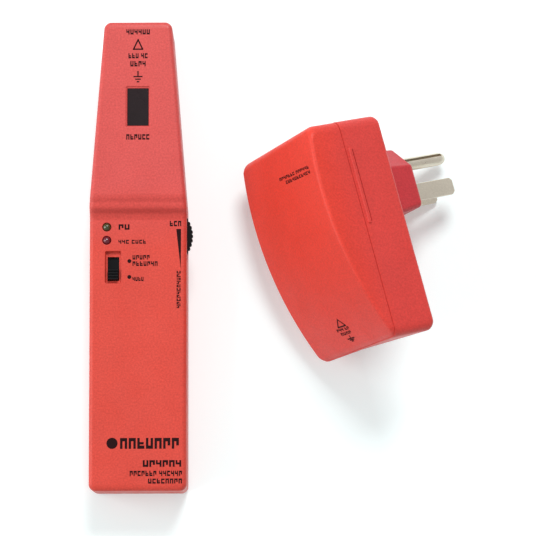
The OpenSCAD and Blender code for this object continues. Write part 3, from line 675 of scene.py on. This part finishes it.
def rounded_rect(cx, cy, w, h, r, steps=5):
    out = []
    for quarter, (sx, sy) in enumerate([(1, 1), (-1, 1), (-1, -1), (1, -1)]):
        out += arc(cx + sx * (w / 2 - r), cy + sy * (h / 2 - r), r, 90 * quarter, 90 * quarter + 90, steps)
    return out


def tray(name, low_rect, high_rect, z0, z1):
    """Block whose outline changes from low_rect to high_rect: each (cx, cy, w, h, r)."""
    return loft(name, [[(x, y, z0) for x, y in rounded_rect(*low_rect)],
                       [(x, y, z1) for x, y in rounded_rect(*high_rect)]])


def pad(name, rect, z0, z1, edge):
    """Upright block on a rounded outline (cx, cy, w, h, r) with its top edge rounded over."""
    steps = 4
    cx, cy, w, h, r = rect
    levels = [(0, z0)]
    for i in range(steps + 1):
        a = math.radians(90 * i / steps)
        levels.append((edge * (1 - math.cos(a)), z1 - edge * (1 - math.sin(a))))
    levels.append((edge + 0.1, z1))
    rings = []
    for inset, z in levels:
        outline = rounded_rect(cx, cy, w - 2 * inset, h - 2 * inset, max(r - inset, 0.02))
        rings.append([(x, y, z) for x, y in outline])
    return loft(name, rings)


def on_outside(mid):
    """True on the receiver's outer openings and along the outside of its parting line."""
    near = 0.05
    if mid.y > TAPER_Y + 4 and mid.z > PARTING + 1:
        return abs(mid.z - TOP) < near and abs(mid.x) < HALF_TIP - 3
    if mid.z > HANDLE_TOP - TOP_EDGE or mid.z < near:
        return abs(mid.x) < HALF_W - 3.2 and mid.z > -near
    at_edge = abs(mid.x) > half_width(mid.y) - 0.2 or abs(mid.y) > HALF_LEN - 0.2
    return at_edge and abs(mid.z - PARTING) < 0.01


def ceiling_over(y):
    return SENSOR_CEILING if y > TAPER_Y else CEILING


def divider(z0, z1, notch_z0, notch_z1):
    """Wall across the handle between the battery and the board."""
    reach = HALF_W - WALL / 2
    wall = block("divider", (-reach, DIVIDER_Y[0], z0), (reach, DIVIDER_Y[1], z1))
    return cut(wall, block("notch", (-NOTCH_HALF_W, DIVIDER_Y[0] - 1.4, notch_z0),
                           (NOTCH_HALF_W, DIVIDER_Y[1] + 1.2, notch_z1)))


def front_recesses():
    """Lamp holes, sunk switch panel and window frame."""
    tools = [cylinder("hole", (LAMP_X, (low.y + high.y) / 2), CEILING - 2, HANDLE_TOP + 2, LAMP_HOLE_R)
             for low, high in ((green_low, green_high), (red_low, red_high))]
    tools.append(tray("panel", (SWITCH_X + 0.05, -4.5, 5.5, 11.3, 0.4),
                      (SWITCH_X - 0.05, -4.55, 5.95, 11.9, 0.6), HANDLE_TOP - 1.5, HANDLE_TOP + 0.12))
    tools.append(tray("frame", (0, WINDOW_Y, 8.5, 14.7, 0.4), (0, WINDOW_Y, 8.9, 15.2, 0.5),
                      TOP - 0.5, TOP + 0.1))
    return joined("holes", tools)


def front_openings():
    """Switch slot, window opening, side slot of the thumbwheel and screw pilots."""
    slot_x, slot_y = SLOT_SIZE[0] / 2, SLOT_SIZE[1] / 2
    window_x, window_y = WINDOW_SIZE[0] / 2 + 0.08, WINDOW_SIZE[1] / 2 + 0.08
    wheel_reach = 9.4
    tools = [
        block("slot", (SWITCH_X - slot_x, SLOT_Y - slot_y, CEILING - 2),
              (SWITCH_X + slot_x, SLOT_Y + slot_y, HANDLE_TOP + 2)),
        block("window", (-window_x, WINDOW_Y - window_y, SENSOR_CEILING - 2),
              (window_x, WINDOW_Y + window_y, TOP + 2)),
        block("side", (HALF_W - WALL - 1.2, WHEEL.y - wheel_reach, wheel_low.z - 0.5),
              (HALF_W + 3, WHEEL.y + wheel_reach, wheel_high.z + 0.5)),
    ]
    tools += [cylinder("pilot", p, PARTING - 1, PARTING + 8.5, PILOT_R, 24) for p in CASE_POSTS]
    return joined("openings", tools)


def make_front_case():
    shell = receiver_skin("front_case_shell")
    common(shell, slab(2, PARTING, FAR))
    cut(shell, receiver_room("room", PARTING - 2))
    posts = [cylinder("post", p, BOARD_TOP, ceiling_over(p[1]) + WALL / 2, BOARD_POST_R)
             for p in BOARD_POSTS]
    posts += [cylinder("post", p, PARTING, ceiling_over(p[1]) + WALL / 2, CASE_POST_R)
              for p in CASE_POSTS]
    fuse(shell, joined("posts", posts))
    fuse(shell, divider(PARTING, CEILING + WALL / 2, PARTING - 1, PARTING + 5))
    cut(shell, front_recesses())
    cut(shell, front_openings())
    finish_piece(shell, "receiver", ["front_case"], "red_case", 0.2, where=on_outside)


def coil_cradle(y):
    """Upright rest under one flange of the coil's bobbin."""
    rest = block("cradle", (-8, y - 0.9, WALL / 2), (8, y + 0.9, 12))
    saddle = cylinder("saddle", (0, 0), -2, 2, 6)
    moved(saddle, Matrix.Translation((0, y, 14)) @ Matrix.Rotation(math.pi / 2, 4, "X"))
    return cut(rest, saddle)


def make_back_case():
    shell = receiver_skin("back_case_shell")
    common(shell, slab(2, -FAR, PARTING))
    cut(shell, receiver_room("room", WALL))
    fuse(shell, cylinders("posts", CASE_POSTS, WALL / 2, PARTING, CASE_POST_R))
    for y in (61.6, 74.4):
        fuse(shell, coil_cradle(y))
    fuse(shell, divider(WALL / 2, PARTING - 0.02, PARTING - 3, PARTING + 1))
    for side in (-1, 1):
        x = side * (HALF_W - WALL - 0.85)
        fuse(shell, block("rail", (x - 0.95, -HALF_LEN + WALL + 0.01, 2.25), (x + 0.95, door_high.y, 3.2)))
    panel_x = DOOR_HALF_W + DOOR_GAP
    tongue_x = panel_x + DOOR_TONGUE
    door_y = door_high.y + DOOR_GAP
    outside_y = -HALF_LEN - 2
    cut(shell, block("door", (-panel_x, outside_y, -2), (panel_x, door_y, 2.5)),
        block("tongues", (-tongue_x, outside_y, 0.7), (tongue_x, door_y, 2.2)),
        block("end", (-panel_x, outside_y, -1), (panel_x, -HALF_LEN + WALL + DOOR_GAP, DOOR_END_TOP + 0.2)))
    cut(shell, cylinders("heads", CASE_POSTS, -1, HEAD_HOLE_DEPTH, HEAD_HOLE_R))
    cut(shell, cylinders("shanks", CASE_POSTS, 0, PARTING + 1, SHANK_HOLE_R, 24))
    finish_piece(shell, "receiver", ["back_case"], "red_case", 0.16, where=on_outside)


def make_battery_door():
    half = DOOR_HALF_W
    tongue_x = half + DOOR_TONGUE
    door = block("battery_door_panel", (-half, -HALF_LEN - 1, -1), (half, door_high.y, DOOR_THICK))
    fuse(door, block("tongue", (-tongue_x, -HALF_LEN + WALL + 0.6, 0.9),
                     (tongue_x, door_high.y - 0.01, DOOR_THICK - 0.01)))
    fuse(door, block("end", (-half + 0.01, -HALF_LEN - 0.99, -0.5),
                     (half - 0.01, -HALF_LEN + WALL, DOOR_END_TOP)))
    common(door, receiver_skin("form"))
    starts = [GROOVE_Y + GROOVE_PITCH * i for i in range(6)]
    cut(door, joined("grooves", [block("groove", (-7, y, -1), (7, y + 1, 0.5)) for y in starts]))
    finish_piece(door, "door", ["battery_door"], "red_case", 0.2)


def make_window():
    lens = pad("smoked_window_lens", (0, WINDOW_Y, *WINDOW_SIZE, 0.4), SENSOR_CEILING - 0.5,
               window_high.z, 0.18)
    fuse(lens, block("flange", window_low, (window_high.x, window_high.y, SENSOR_CEILING - 0.02)))
    finish_piece(lens, "receiver", ["signal_window"], "smoked_window")


def make_lamp(name, node, slot_name):
    low, high = box_mm(node)
    at = ((low.x + high.x) / 2, (low.y + high.y) / 2)
    flange = (high.x - low.x) / 2
    r = flange / 1.18
    dome = high.z - r
    profile = [(flange - 0.15, low.z), (flange, low.z + 0.15), (flange, low.z + 0.85),
               (flange - 0.15, low.z + 1), (r, low.z + 1.02)]
    profile += arc(0, dome, r, 0, 90, 10)
    finish_piece(revolve(name, profile, at, 36), "receiver", [node], slot_name)


def make_switch_knob():
    top_z = knob_high.z
    groove_half, groove_pitch, groove_depth = 0.24, 1.05, 0.55
    knob = tray("switch_knob_cap", (SWITCH_X, THUMB_Y, 3.85, 3.9, 0.3), (SWITCH_X, THUMB_Y, 3.7, 3.7, 0.35),
                top_z - 3.7, top_z)
    grooves = []
    for i in (-1, 0, 1):
        y = THUMB_Y + i * groove_pitch
        grooves.append(block("groove", (SWITCH_X - 4, y - groove_half, top_z - groove_depth),
                             (SWITCH_X + 4, y + groove_half, top_z + 0.7)))
    cut(knob, joined("grooves", grooves))
    shield = (SWITCH_X, SHIELD_Y, *SHIELD_SIZE, 0.3)
    fuse(knob, tray("shield", shield, shield, 20.5, 21.4))
    fuse(knob, block("foot", (SWITCH_X - 0.9, THUMB_Y - 1.2, knob_low.z),
                     (SWITCH_X + 0.9, THUMB_Y + 1.2, 20.7)))
    finish_piece(knob, "switch", ["switch_knob"], "black_plastic", 0.12)


def wheel_rim(z, shrink):
    """Knurled outline of the thumbwheel: rounded ridges with sharper valleys."""
    ridges, per_ridge, depth = 44, 8, 0.5
    out = []
    for k in range(ridges * per_ridge):
        a = math.tau * k / (ridges * per_ridge)
        ridge = 0.5 + 0.5 * math.cos(ridges * a)
        r = WHEEL_R - shrink - depth * (1 - ridge ** 0.55)
        out.append((WHEEL.x + r * math.cos(a), WHEEL.y + r * math.sin(a), z))
    return out


def make_thumbwheel():
    z0, z1 = wheel_low.z, wheel_high.z
    at = (WHEEL.x, WHEEL.y)
    bore_r, sink_r, dimple_r, dimples_at = 2.0, 3.0, 1.7, 6.6
    wheel = loft("thumbwheel_disc", [
        wheel_rim(z0, 0.35), wheel_rim(z0 + 0.12, 0.1), wheel_rim(z0 + 0.35, 0),
        wheel_rim(z1 - 0.35, 0), wheel_rim(z1 - 0.12, 0.1), wheel_rim(z1, 0.35),
    ])
    cut(wheel, cylinder("bore", at, z0 - 1, z1 + 1, bore_r))
    cut(wheel, cylinder("sink", at, z1 - 1.2, z1 + 1, sink_r))
    cut(wheel, cylinders("dimples", circle(*at, dimples_at, 6), z1 - 0.8, z1 + 1, dimple_r))
    finish_piece(wheel, "wheel", ["thumbwheel"], "black_plastic")


# ---------------------------------------------------------------- transmitter

def end_lean(z, lean):
    """How far the drafted low end of the transmitter is drawn in at local height z."""
    middle, slope = lean
    return middle - slope * z


def fillet_on_arc(end_y, big, r):
    """Centre and contact angle of a fillet between the end wall at end_y and the curved front."""
    y = end_y - math.copysign(r, end_y)
    x = TX_ARC.x - math.sqrt((big - r) ** 2 - (y - TX_ARC.y) ** 2)
    return x, y, math.degrees(math.atan2(y - TX_ARC.y, x - TX_ARC.x)) % 360


def tx_ring(z, front_in, end_in, shrink=0.0):
    """Side outline of the transmitter at local height z, set in by front_in and end_in."""
    end = TX_HALF_H - end_in - shrink
    rear_end = end - end_lean(z, REAR_LEAN)
    front_end = end - end_lean(z, FRONT_LEAN)
    big = TX_ARC_R - front_in - shrink
    fillet = max(TX_FILLET - front_in, 0.4)
    corner = max(TX_REAR_FILLET - front_in, 0.03)
    rear_x = -front_in - corner
    low_x, low_y, low_a = fillet_on_arc(-front_end, big, fillet)
    high_x, high_y, high_a = fillet_on_arc(end, big, fillet)
    outline = arc(rear_x, -rear_end + corner, corner, 0, -90, 6)
    outline += arc(low_x, low_y, fillet, 270, low_a, 8)
    outline += arc(TX_ARC.x, TX_ARC.y, big, low_a, high_a, 56)[1:-1]
    outline += arc(high_x, high_y, fillet, high_a, 90, 8)
    outline += arc(rear_x, end - corner, corner, 90, 0, 6)
    return [(x, y, z) for x, y in outline]


def rounding(reach, half, r):
    """How far a corner of radius r has drawn the outline in at a distance from the middle."""
    over = max(reach - (half - r), 0)
    return r - math.sqrt(max(r ** 2 - over ** 2, 0))


def tx_skin(name, shrink=0.0):
    steps = 9
    half = TX_HALF_W - shrink
    turns = [math.radians(90 * i / steps) for i in range(steps + 1)]
    heights = [half - TX_CORNER * (1 - math.sin(a)) for a in turns]
    border = 0.15
    rings = [tx_ring(-half, TX_LOWER_EDGE + border, TX_CORNER + border, shrink)]
    for z in [-height for height in reversed(heights)] + heights:
        edge = TX_UPPER_EDGE if z > 0 else TX_LOWER_EDGE
        front_in = min(rounding(abs(z), half, edge), edge - 0.02)
        rings.append(tx_ring(z, front_in, rounding(abs(z), half, TX_CORNER), shrink))
    rings.append(tx_ring(half, TX_UPPER_EDGE + border, TX_CORNER + border, shrink))
    return loft(name, rings)


def tx_room(name):
    half = TX_HALF_W - TX_WALL
    return loft(name, [tx_ring(z, TX_WALL, TX_WALL) for z in (-half, half)])


def tx_front_x(y):
    """Depth of the curved front at y."""
    return TX_ARC.x - math.sqrt(TX_ARC_R ** 2 - (y - TX_ARC.y) ** 2)


def rod(name, at, x0, x1, r, count=36):
    """Cylinder along local x at (y, z)."""
    return stand_x(cylinder(name, at, x0, x1, r, count))


def rods(name, places, x0, x1, r, count=36):
    return joined(name, [rod(name, p, x0, x1, r, count) for p in places])


def make_front_cover():
    cover = tx_skin("front_cover_shell", COVER_SHRINK)
    common(cover, slab(0, -FAR, -TX_REAR - 0.16))
    fuse(cover, common(tx_skin("lip", 0.45), slab(0, -TX_REAR - 1, -TX_REAR)))
    cut(cover, tx_room("room"))
    posts, pilots = [], []
    for y, z in TX_POSTS:
        outer_x = tx_front_x(y + math.copysign(TX_POST_R, y)) + 1.1
        posts.append(rod("post", (y, z), outer_x, -TX_REAR, TX_POST_R))
        pilot_depth = 2.4 if y < 0 else 7
        pilots.append(rod("pilot", (y, z), -TX_REAR - pilot_depth, -TX_REAR + 1, PILOT_R, 24))
    fuse(cover, joined("posts", posts))
    cut(cover, joined("pilots", pilots))
    cover.data.transform(TX)
    finish_piece(cover, "transmitter", ["transmitter_front_cover"], "red_cover")


def offset_corners(corners, d):
    """Polygon with every side moved inwards by d; corners run anticlockwise."""
    lines = []
    n = len(corners)
    for i in range(n):
        a, b = Vector(corners[i]), Vector(corners[(i + 1) % n])
        side = (b - a).normalized()
        inward = Vector((-side.y, side.x))
        lines.append((a + inward * d, side))
    out = []
    for i in range(n):
        p, u = lines[i - 1]
        q, v = lines[i]
        t = ((q - p).x * v.y - (q - p).y * v.x) / (u.x * v.y - u.y * v.x)
        out.append(p + u * t)
    return out


def filleted(corners, radii):
    """Outline with each corner rounded by its own radius."""
    steps = 6
    out = []
    n = len(corners)
    for i in range(n):
        c = Vector(corners[i])
        to_prev = (Vector(corners[i - 1]) - c).normalized()
        to_next = (Vector(corners[(i + 1) % n]) - c).normalized()
        half = to_prev.angle(to_next) / 2
        reach = radii[i] / math.tan(half)
        centre = c + (to_prev + to_next).normalized() * (radii[i] / math.sin(half))
        a = c + to_prev * reach - centre
        b = c + to_next * reach - centre
        sweep = a.angle(b)
        turn = 1 if a.x * b.y - a.y * b.x > 0 else -1
        for k in range(steps + 1):
            t = turn * sweep * k / steps
            out.append((centre.x + a.x * math.cos(t) - a.y * math.sin(t),
                        centre.y + a.x * math.sin(t) + a.y * math.cos(t)))
    return out


def boss_corners(x):
    """Pentagon of the boss in y and z: wide low side, narrow top towards the ground pin."""
    t = x / BOSS_LEN
    low, side = 4 + 2.4 * t, 11.3 - 1.2 * t
    shoulder, apex = 22.9 - 0.8 * t, 32.6 - 1.6 * t
    return [(low, -side), (shoulder, -side), (apex, 0), (shoulder, side), (low, side)]


def boss(name, x0, x1, inset, edge):
    radii = [1.9, 1.5, 1.6, 1.5, 1.9]
    steps = 6
    levels = [(x0, inset), (x1 - edge, inset)]
    for i in range(1, steps + 1):
        a = math.radians(90 * i / steps)
        levels.append((x1 - edge * (1 - math.sin(a)), inset + edge * (1 - math.cos(a))))
    rings = []
    for x, d in levels:
        outline = filleted(offset_corners(boss_corners(x), d), [max(r - 0.75 * d, 0.08) for r in radii])
        rings.append([(x, y, z) for y, z in outline])
    return loft(name, rings)


def tx_rear_room():
    """Straight-walled room of the rear case, whose low wall follows the drafted end."""
    high = TX_HALF_H - TX_WALL
    half = TX_HALF_W - TX_WALL
    rings = []
    for z in (-half, half):
        low = -high + max(end_lean(z, REAR_LEAN), 0)
        rings.append([(-60, low, z), (-TX_WALL, low, z), (-TX_WALL, high, z), (-60, high, z)])
    return loft("room", rings)


def snap_rib(side):
    """Crowned rib on the upper (side 1) or lower (side -1) long face; the lower one is flatter."""
    crown = 1 if side > 0 else 0.3
    width, length = RIB_SIZE
    rings = []
    for inset, proud in ((0, -0.5), (0, 0.1 * crown), (0.1, 0.32 * crown), (0.24, 0.44 * crown),
                         (0.42, 0.48 * crown)):
        outline = rounded_rect(*RIB_AT, width - 2 * inset, length - 2 * inset, 0.68 - inset, 6)
        rings.append([(x, y, side * (TX_HALF_W + proud)) for x, y in outline])
    return loft("rib", rings)


def rib_groove(side):
    x = RIB_AT[0] + RIB_SIZE[0] / 2
    reach = RIB_SIZE[1] / 2 - 0.6
    z = side * TX_HALF_W
    return block("groove", (x, RIB_AT[1] - reach, z - 0.4), (x + RIB_GROOVE, RIB_AT[1] + reach, z + 0.4))


def prong_slots():
    gap = 0.03
    slots = [block("slot", (0, BLADES_Y - BLADE_HALF_W - 0.025, side * BLADE_Z - BLADE_HALF_T - gap),
                   (30, BLADES_Y + BLADE_HALF_W + 0.025, side * BLADE_Z + BLADE_HALF_T + gap))
             for side in (-1, 1)]
    slots.append(rod("round", (PIN_Y, 0), 0, 30, PIN_NECK_R + gap))
    return joined("slots", slots)


def make_rear_case():
    case = tx_skin("rear_case_shell")
    common(case, slab(0, -TX_REAR + 0.1, FAR))
    fuse(case, common(tx_skin("eased", 0.08), slab(0, -TX_REAR, -TX_REAR + 1)))
    cut(case, tx_rear_room())
    fuse(case, boss("boss", -1, BOSS_LEN, 0, 1.3))
    cut(case, boss("hollow", -TX_WALL - 0.5, BOSS_LEN - 2.5, TX_WALL, 0.3))
    posts = [rod("post", p, -TX_REAR, -1, TX_POST_R) for p in TX_POSTS]
    posts += [rod("post", p, -12.4, -1, TX_BOARD_POST_R) for p in TX_BOARD_POSTS]
    fuse(case, joined("posts", posts))
    cut(case, prong_slots())
    cut(case, rods("shanks", TX_POSTS, -TX_REAR - 1, 1, TX_SHANK_HOLE_R, 24))
    cut(case, rods("heads", TX_POSTS, -HEAD_HOLE_DEPTH, 1, TX_HEAD_HOLE_R))
    for side in (-1, 1):
        fuse(case, snap_rib(side))
        cut(case, rib_groove(side))
    case.data.transform(TX)
    finish_piece(case, "transmitter", ["transmitter_rear_case"], "red_cover")


def make_blade(name, node, side):
    chamfer, root = 1.1, 5
    half = BLADE_HALF_W
    outline = [(root, -half), (BLADE_TIP - chamfer, -half), (BLADE_TIP, -half + chamfer),
               (BLADE_TIP, half - chamfer), (BLADE_TIP - chamfer, half), (root, half)]
    blade = loft(name, [[(x, BLADES_Y + y, side * BLADE_Z + z) for x, y in outline]
                        for z in (-BLADE_HALF_T, BLADE_HALF_T)])
    blade.data.transform(TX)
    finish_piece(blade, "transmitter", [node], "nickel", 0.28, 3, 30)


def make_ground_pin():
    nose, nose_r = 3.2, 1.5
    profile = [(PIN_NECK_R, 5), (PIN_NECK_R, 20.1), (PIN_R, 20.3), (PIN_R, PIN_TIP - nose)]
    for degrees in range(10, 91, 10):
        a = math.radians(degrees)
        profile.append((PIN_R - nose_r * (1 - math.cos(a)), PIN_TIP - nose + nose * math.sin(a)))
    profile.append((0.3, PIN_TIP))
    pin = stand_x(revolve("ground_pin_tube", profile, (PIN_Y, 0), 48))
    seam = block("seam", (19.9, -0.55, -1.3), (PIN_TIP - 1.6, 0.55, 4))
    cut(pin, moved(seam, Matrix.Translation((0, PIN_Y, 0)) @ Matrix.Rotation(math.radians(-30), 4, "X")))
    pin.data.transform(TX)
    finish_piece(pin, "transmitter", ["ground_pin"], "nickel", 0.12)


# ---------------------------------------------------------------- printed marks

# How far the ink stands out of the plastic
INK_PROUD = 0.035
# Letter-like shapes that are no letters, each made of bars (u0, v0, u1, v1) in a unit square
STROKES = [
    [(0, 0, 0.34, 1), (0.34, 0.68, 1, 1), (0.62, 0.3, 1, 0.68)],
    [(0, 0, 0.34, 1), (0.34, 0, 1, 0.3), (0.34, 0.4, 0.9, 0.62)],
    [(0, 0, 0.34, 1), (0.66, 0, 1, 1), (0.34, 0.7, 0.66, 1)],
    [(0.66, 0, 1, 1), (0, 0.36, 0.66, 0.64), (0, 0.64, 0.3, 1)],
    [(0, 0, 0.34, 1), (0.66, 0, 1, 1), (0.34, 0, 0.66, 0.3)],
    [(0, 0.7, 1, 1), (0, 0, 1, 0.3), (0, 0.3, 0.34, 0.7)],
]


def flat_mark(name, body, polygons, place):
    """Thin raised print: polygons in (u, v), put on the surface by place(u, v, lift)."""
    sunk = -0.06
    parts = [loft("mark", [[place(u, v, lift) for u, v in poly] for lift in (sunk, INK_PROUD)])
             for poly in polygons]
    finish_piece(joined(name, parts), body, [], "printed_ink")


def bar(u0, v0, u1, v1):
    return [(u0, v0), (u1, v0), (u1, v1), (u0, v1)]


def glyphs(u0, u1, v0, v1, count, gaps=(), bold=0.0):
    """A line of plain letter-like shapes that spells nothing."""
    pitch = (u1 - u0) / (count + 0.5 * len(gaps) - 0.2)
    width = pitch * (0.78 + bold)
    height = v1 - v0
    polys = []
    u = u0
    for i in range(count):
        if i in gaps:
            u += 0.5 * pitch
        for a, b, c, d in random.choice(STROKES):
            polys.append(bar(u + a * width, v0 + b * height, u + c * width, v0 + d * height))
        u += pitch
    return polys


def slanted(a, b, t):
    """Bar of thickness t from a to b, a little longer at both ends so that corners close."""
    a, b = Vector(a), Vector(b)
    side = (b - a).normalized()
    across = Vector((-side.y, side.x)) * t / 2
    a, b = a - side * t * 0.4, b + side * t * 0.4
    return [tuple(a - across), tuple(b - across), tuple(b + across), tuple(a + across)]


def triangle(cx, v0, v1, half, t):
    a, b, c = (cx - half, v0), (cx + half, v0), (cx, v1)
    return [slanted(a, b, t), slanted(b, c, t), slanted(c, a, t)]


def earth(cx, v0, v1, half, t):
    """Earth sign: one upright and three shorter and shorter bars below it."""
    step = (v1 - v0) * 0.24
    out = [bar(cx - t / 2, v0 + 2 * step, cx + t / 2, v1)]
    for level, share in ((2, 1), (1, 0.62), (0, 0.28)):
        v = v0 + level * step
        out.append(bar(cx - half * share, v - t / 2, cx + half * share, v + t / 2))
    return out


def on_sensor(u, v, lift):
    return u, v, TOP + lift


def on_handle(u, v, lift):
    return u, v, HANDLE_TOP + lift


def up_the_side(u, v, lift):
    """Print that is read from the right side, next to the wedge."""
    return 15.45 - v, u, HANDLE_TOP + lift


def on_cover(u, v, lift):
    """Print on the transmitter's curved front, a little askew."""
    v -= 0.053 * u
    return tuple(TX @ Vector((tx_front_x(v) - lift + COVER_SHRINK, v, u)))


def make_sensor_marks():
    marks = [
        ("print_sensor", glyphs(-4.3, 4.3, 80.7, 82.6, 6)),
        ("print_triangle", triangle(0, 75.2, 78.7, 1.65, 0.5)),
        ("print_rating", glyphs(-3.5, 3.5, 71.8, 73.7, 5, (3,)) + glyphs(-2.8, 2.8, 68.8, 70.8, 4)),
        ("print_earth", earth(0, 63.1, 67.1, 1.65, 0.46)),
        ("print_signal", glyphs(-4.2, 4.2, 41.7, 43.7, 6)),
    ]
    for name, shapes in marks:
        flat_mark(name, "receiver", shapes, on_sensor)


def make_handle_marks():
    marks = [
        ("print_on", glyphs(-7.1, -3.2, 9.2, 11.2, 2, (), 0.05), on_handle),
        ("print_low", glyphs(-7.15, 2.9, 4.05, 5.5, 7, (3,)), on_handle),
        ("print_modes", glyphs(-2, 4.2, -1.75, -0.1, 5) + glyphs(-2, 7.1, -4.1, -2.4, 7)
         + glyphs(-2, 2, -9.6, -8.1, 4), on_handle),
        ("print_dots", [circle(-3.15, -2.3, 0.72, 20), circle(-3.15, -8.1, 0.72, 20)], on_handle),
        ("print_off", glyphs(11.5, 15.7, 10.4, 12.4, 3), on_handle),
        ("print_wedge", [[(13.85, 9.4), (15.5, -5.4), (15.6, 9.4)]], on_handle),
        ("print_sensitivity", glyphs(-19.5, -5.9, 0, 1.45, 11), up_the_side),
        ("print_badge", [circle(-9.2, -68.4, 2.0, 28)] + glyphs(-6.3, 14.8, -70.4, -66.5, 7, (), 0.04),
         on_handle),
        ("print_type", glyphs(1.9, 15.6, -76.9, -74.5, 6, (), 0.06), on_handle),
        ("print_name", glyphs(-2.8, 16.0, -80.2, -78.3, 13, (7,)) + glyphs(3.8, 16.0, -82.9, -81.1, 8),
         on_handle),
    ]
    for name, shapes, place in marks:
        flat_mark(name, "receiver", shapes, place)


def make_cover_marks():
    marks = [
        ("print_cover_lines", glyphs(0.5, 22.5, 26.2, 27.4, 13, (7,)) + glyphs(4.6, 22.6, 24.3, 25.5, 11)),
        ("print_cover_triangle", triangle(1, -29.7, -26.9, 2.6, 0.5)),
        ("print_cover_rating", glyphs(-3.6, 4.6, -31.3, -30.2, 5, (3,))
         + glyphs(-2.6, 4.2, -32.9, -31.8, 4) + earth(1.6, -35.6, -33.4, 2.3, 0.42)),
    ]
    for name, shapes in marks:
        flat_mark(name, "transmitter", shapes, on_cover)


make_front_case()
make_back_case()
make_battery_door()
make_window()
make_lamp("power_lamp_dome", "power_lamp", "green_lens")
make_lamp("low_battery_lamp_dome", "low_battery_lamp", "red_lens")
make_lamp("signal_lamp_dome", "signal_lamp", "red_lens")
make_switch_knob()
make_thumbwheel()
make_front_cover()
make_rear_case()
make_blade("neutral_blade_prong", "neutral_blade", 1)
make_blade("hot_blade_prong", "hot_blade", -1)
make_ground_pin()
make_sensor_marks()
make_handle_marks()
make_cover_marks()

# Inner pieces keep the CAD shape and get the detailed finishes
for entry in frame["record"]["subparts"]:
    ob = frame["nodes"].get(entry["node"])
    if ob and ob.name in scene.objects:
        for s in ob.material_slots:
            s.material = materials[entry["material_slot"]]


# ---------------------------------------------------------------- floor, light, camera

FLOOR_HALF = 3
floor_outline = bar(-FLOOR_HALF, -FLOOR_HALF, FLOOR_HALF, FLOOR_HALF)
floor = add("floor", [(x, y, 0) for x, y in floor_outline], [(0, 1, 2, 3)])
floor.data.materials.append(materials["floor"])

# Both lamps point at the middle of the two units
AIM = Vector((0.05, 0, 0))


def area_light(name, at, size, power):
    data = bpy.data.lights.new(name, "AREA")
    data.shape = "DISK"
    data.size = size
    data.energy = power
    ob = bpy.data.objects.new(name, data)
    scene.collection.objects.link(ob)
    ob.location = at
    ob.rotation_euler = (AIM - Vector(at)).to_track_quat("-Z", "Y").to_euler()


area_light("key", (0.24, 0.92, 1.25), 0.6, 17)
area_light("fill", (-1.2, -0.1, 0.8), 1.2, 14)
world = bpy.data.worlds.new("studio")
world.use_nodes = True
background = world.node_tree.nodes["Background"]
background.inputs["Color"].default_value = (1, 1, 1, 1)
background.inputs["Strength"].default_value = 0.46
scene.world = world
scene.view_settings.view_transform = "Standard"

# The camera looks almost straight down, from a little towards the handle's end
TARGET = Vector((47.14, -1.88, 0)) * MM
DISTANCE = 1.0
TILT = math.radians(7.44)
ROLL = math.radians(-0.21)
camera_data = bpy.data.cameras.new("camera")
camera_data.lens = 180.7
camera_data.sensor_width = 36
camera_data.clip_start = 0.01
camera_data.clip_end = 20
camera = bpy.data.objects.new("camera", camera_data)
scene.collection.objects.link(camera)
look = Vector((0, math.sin(TILT), -math.cos(TILT)))
up = Vector((0, math.cos(TILT), math.sin(TILT)))
turned = Matrix((look.cross(up), up, -look)).transposed() @ Matrix.Rotation(ROLL, 3, "Z")
camera.location = TARGET - look * DISTANCE
camera.rotation_euler = turned.to_euler()
scene.camera = camera

bpy.context.view_layer.update()
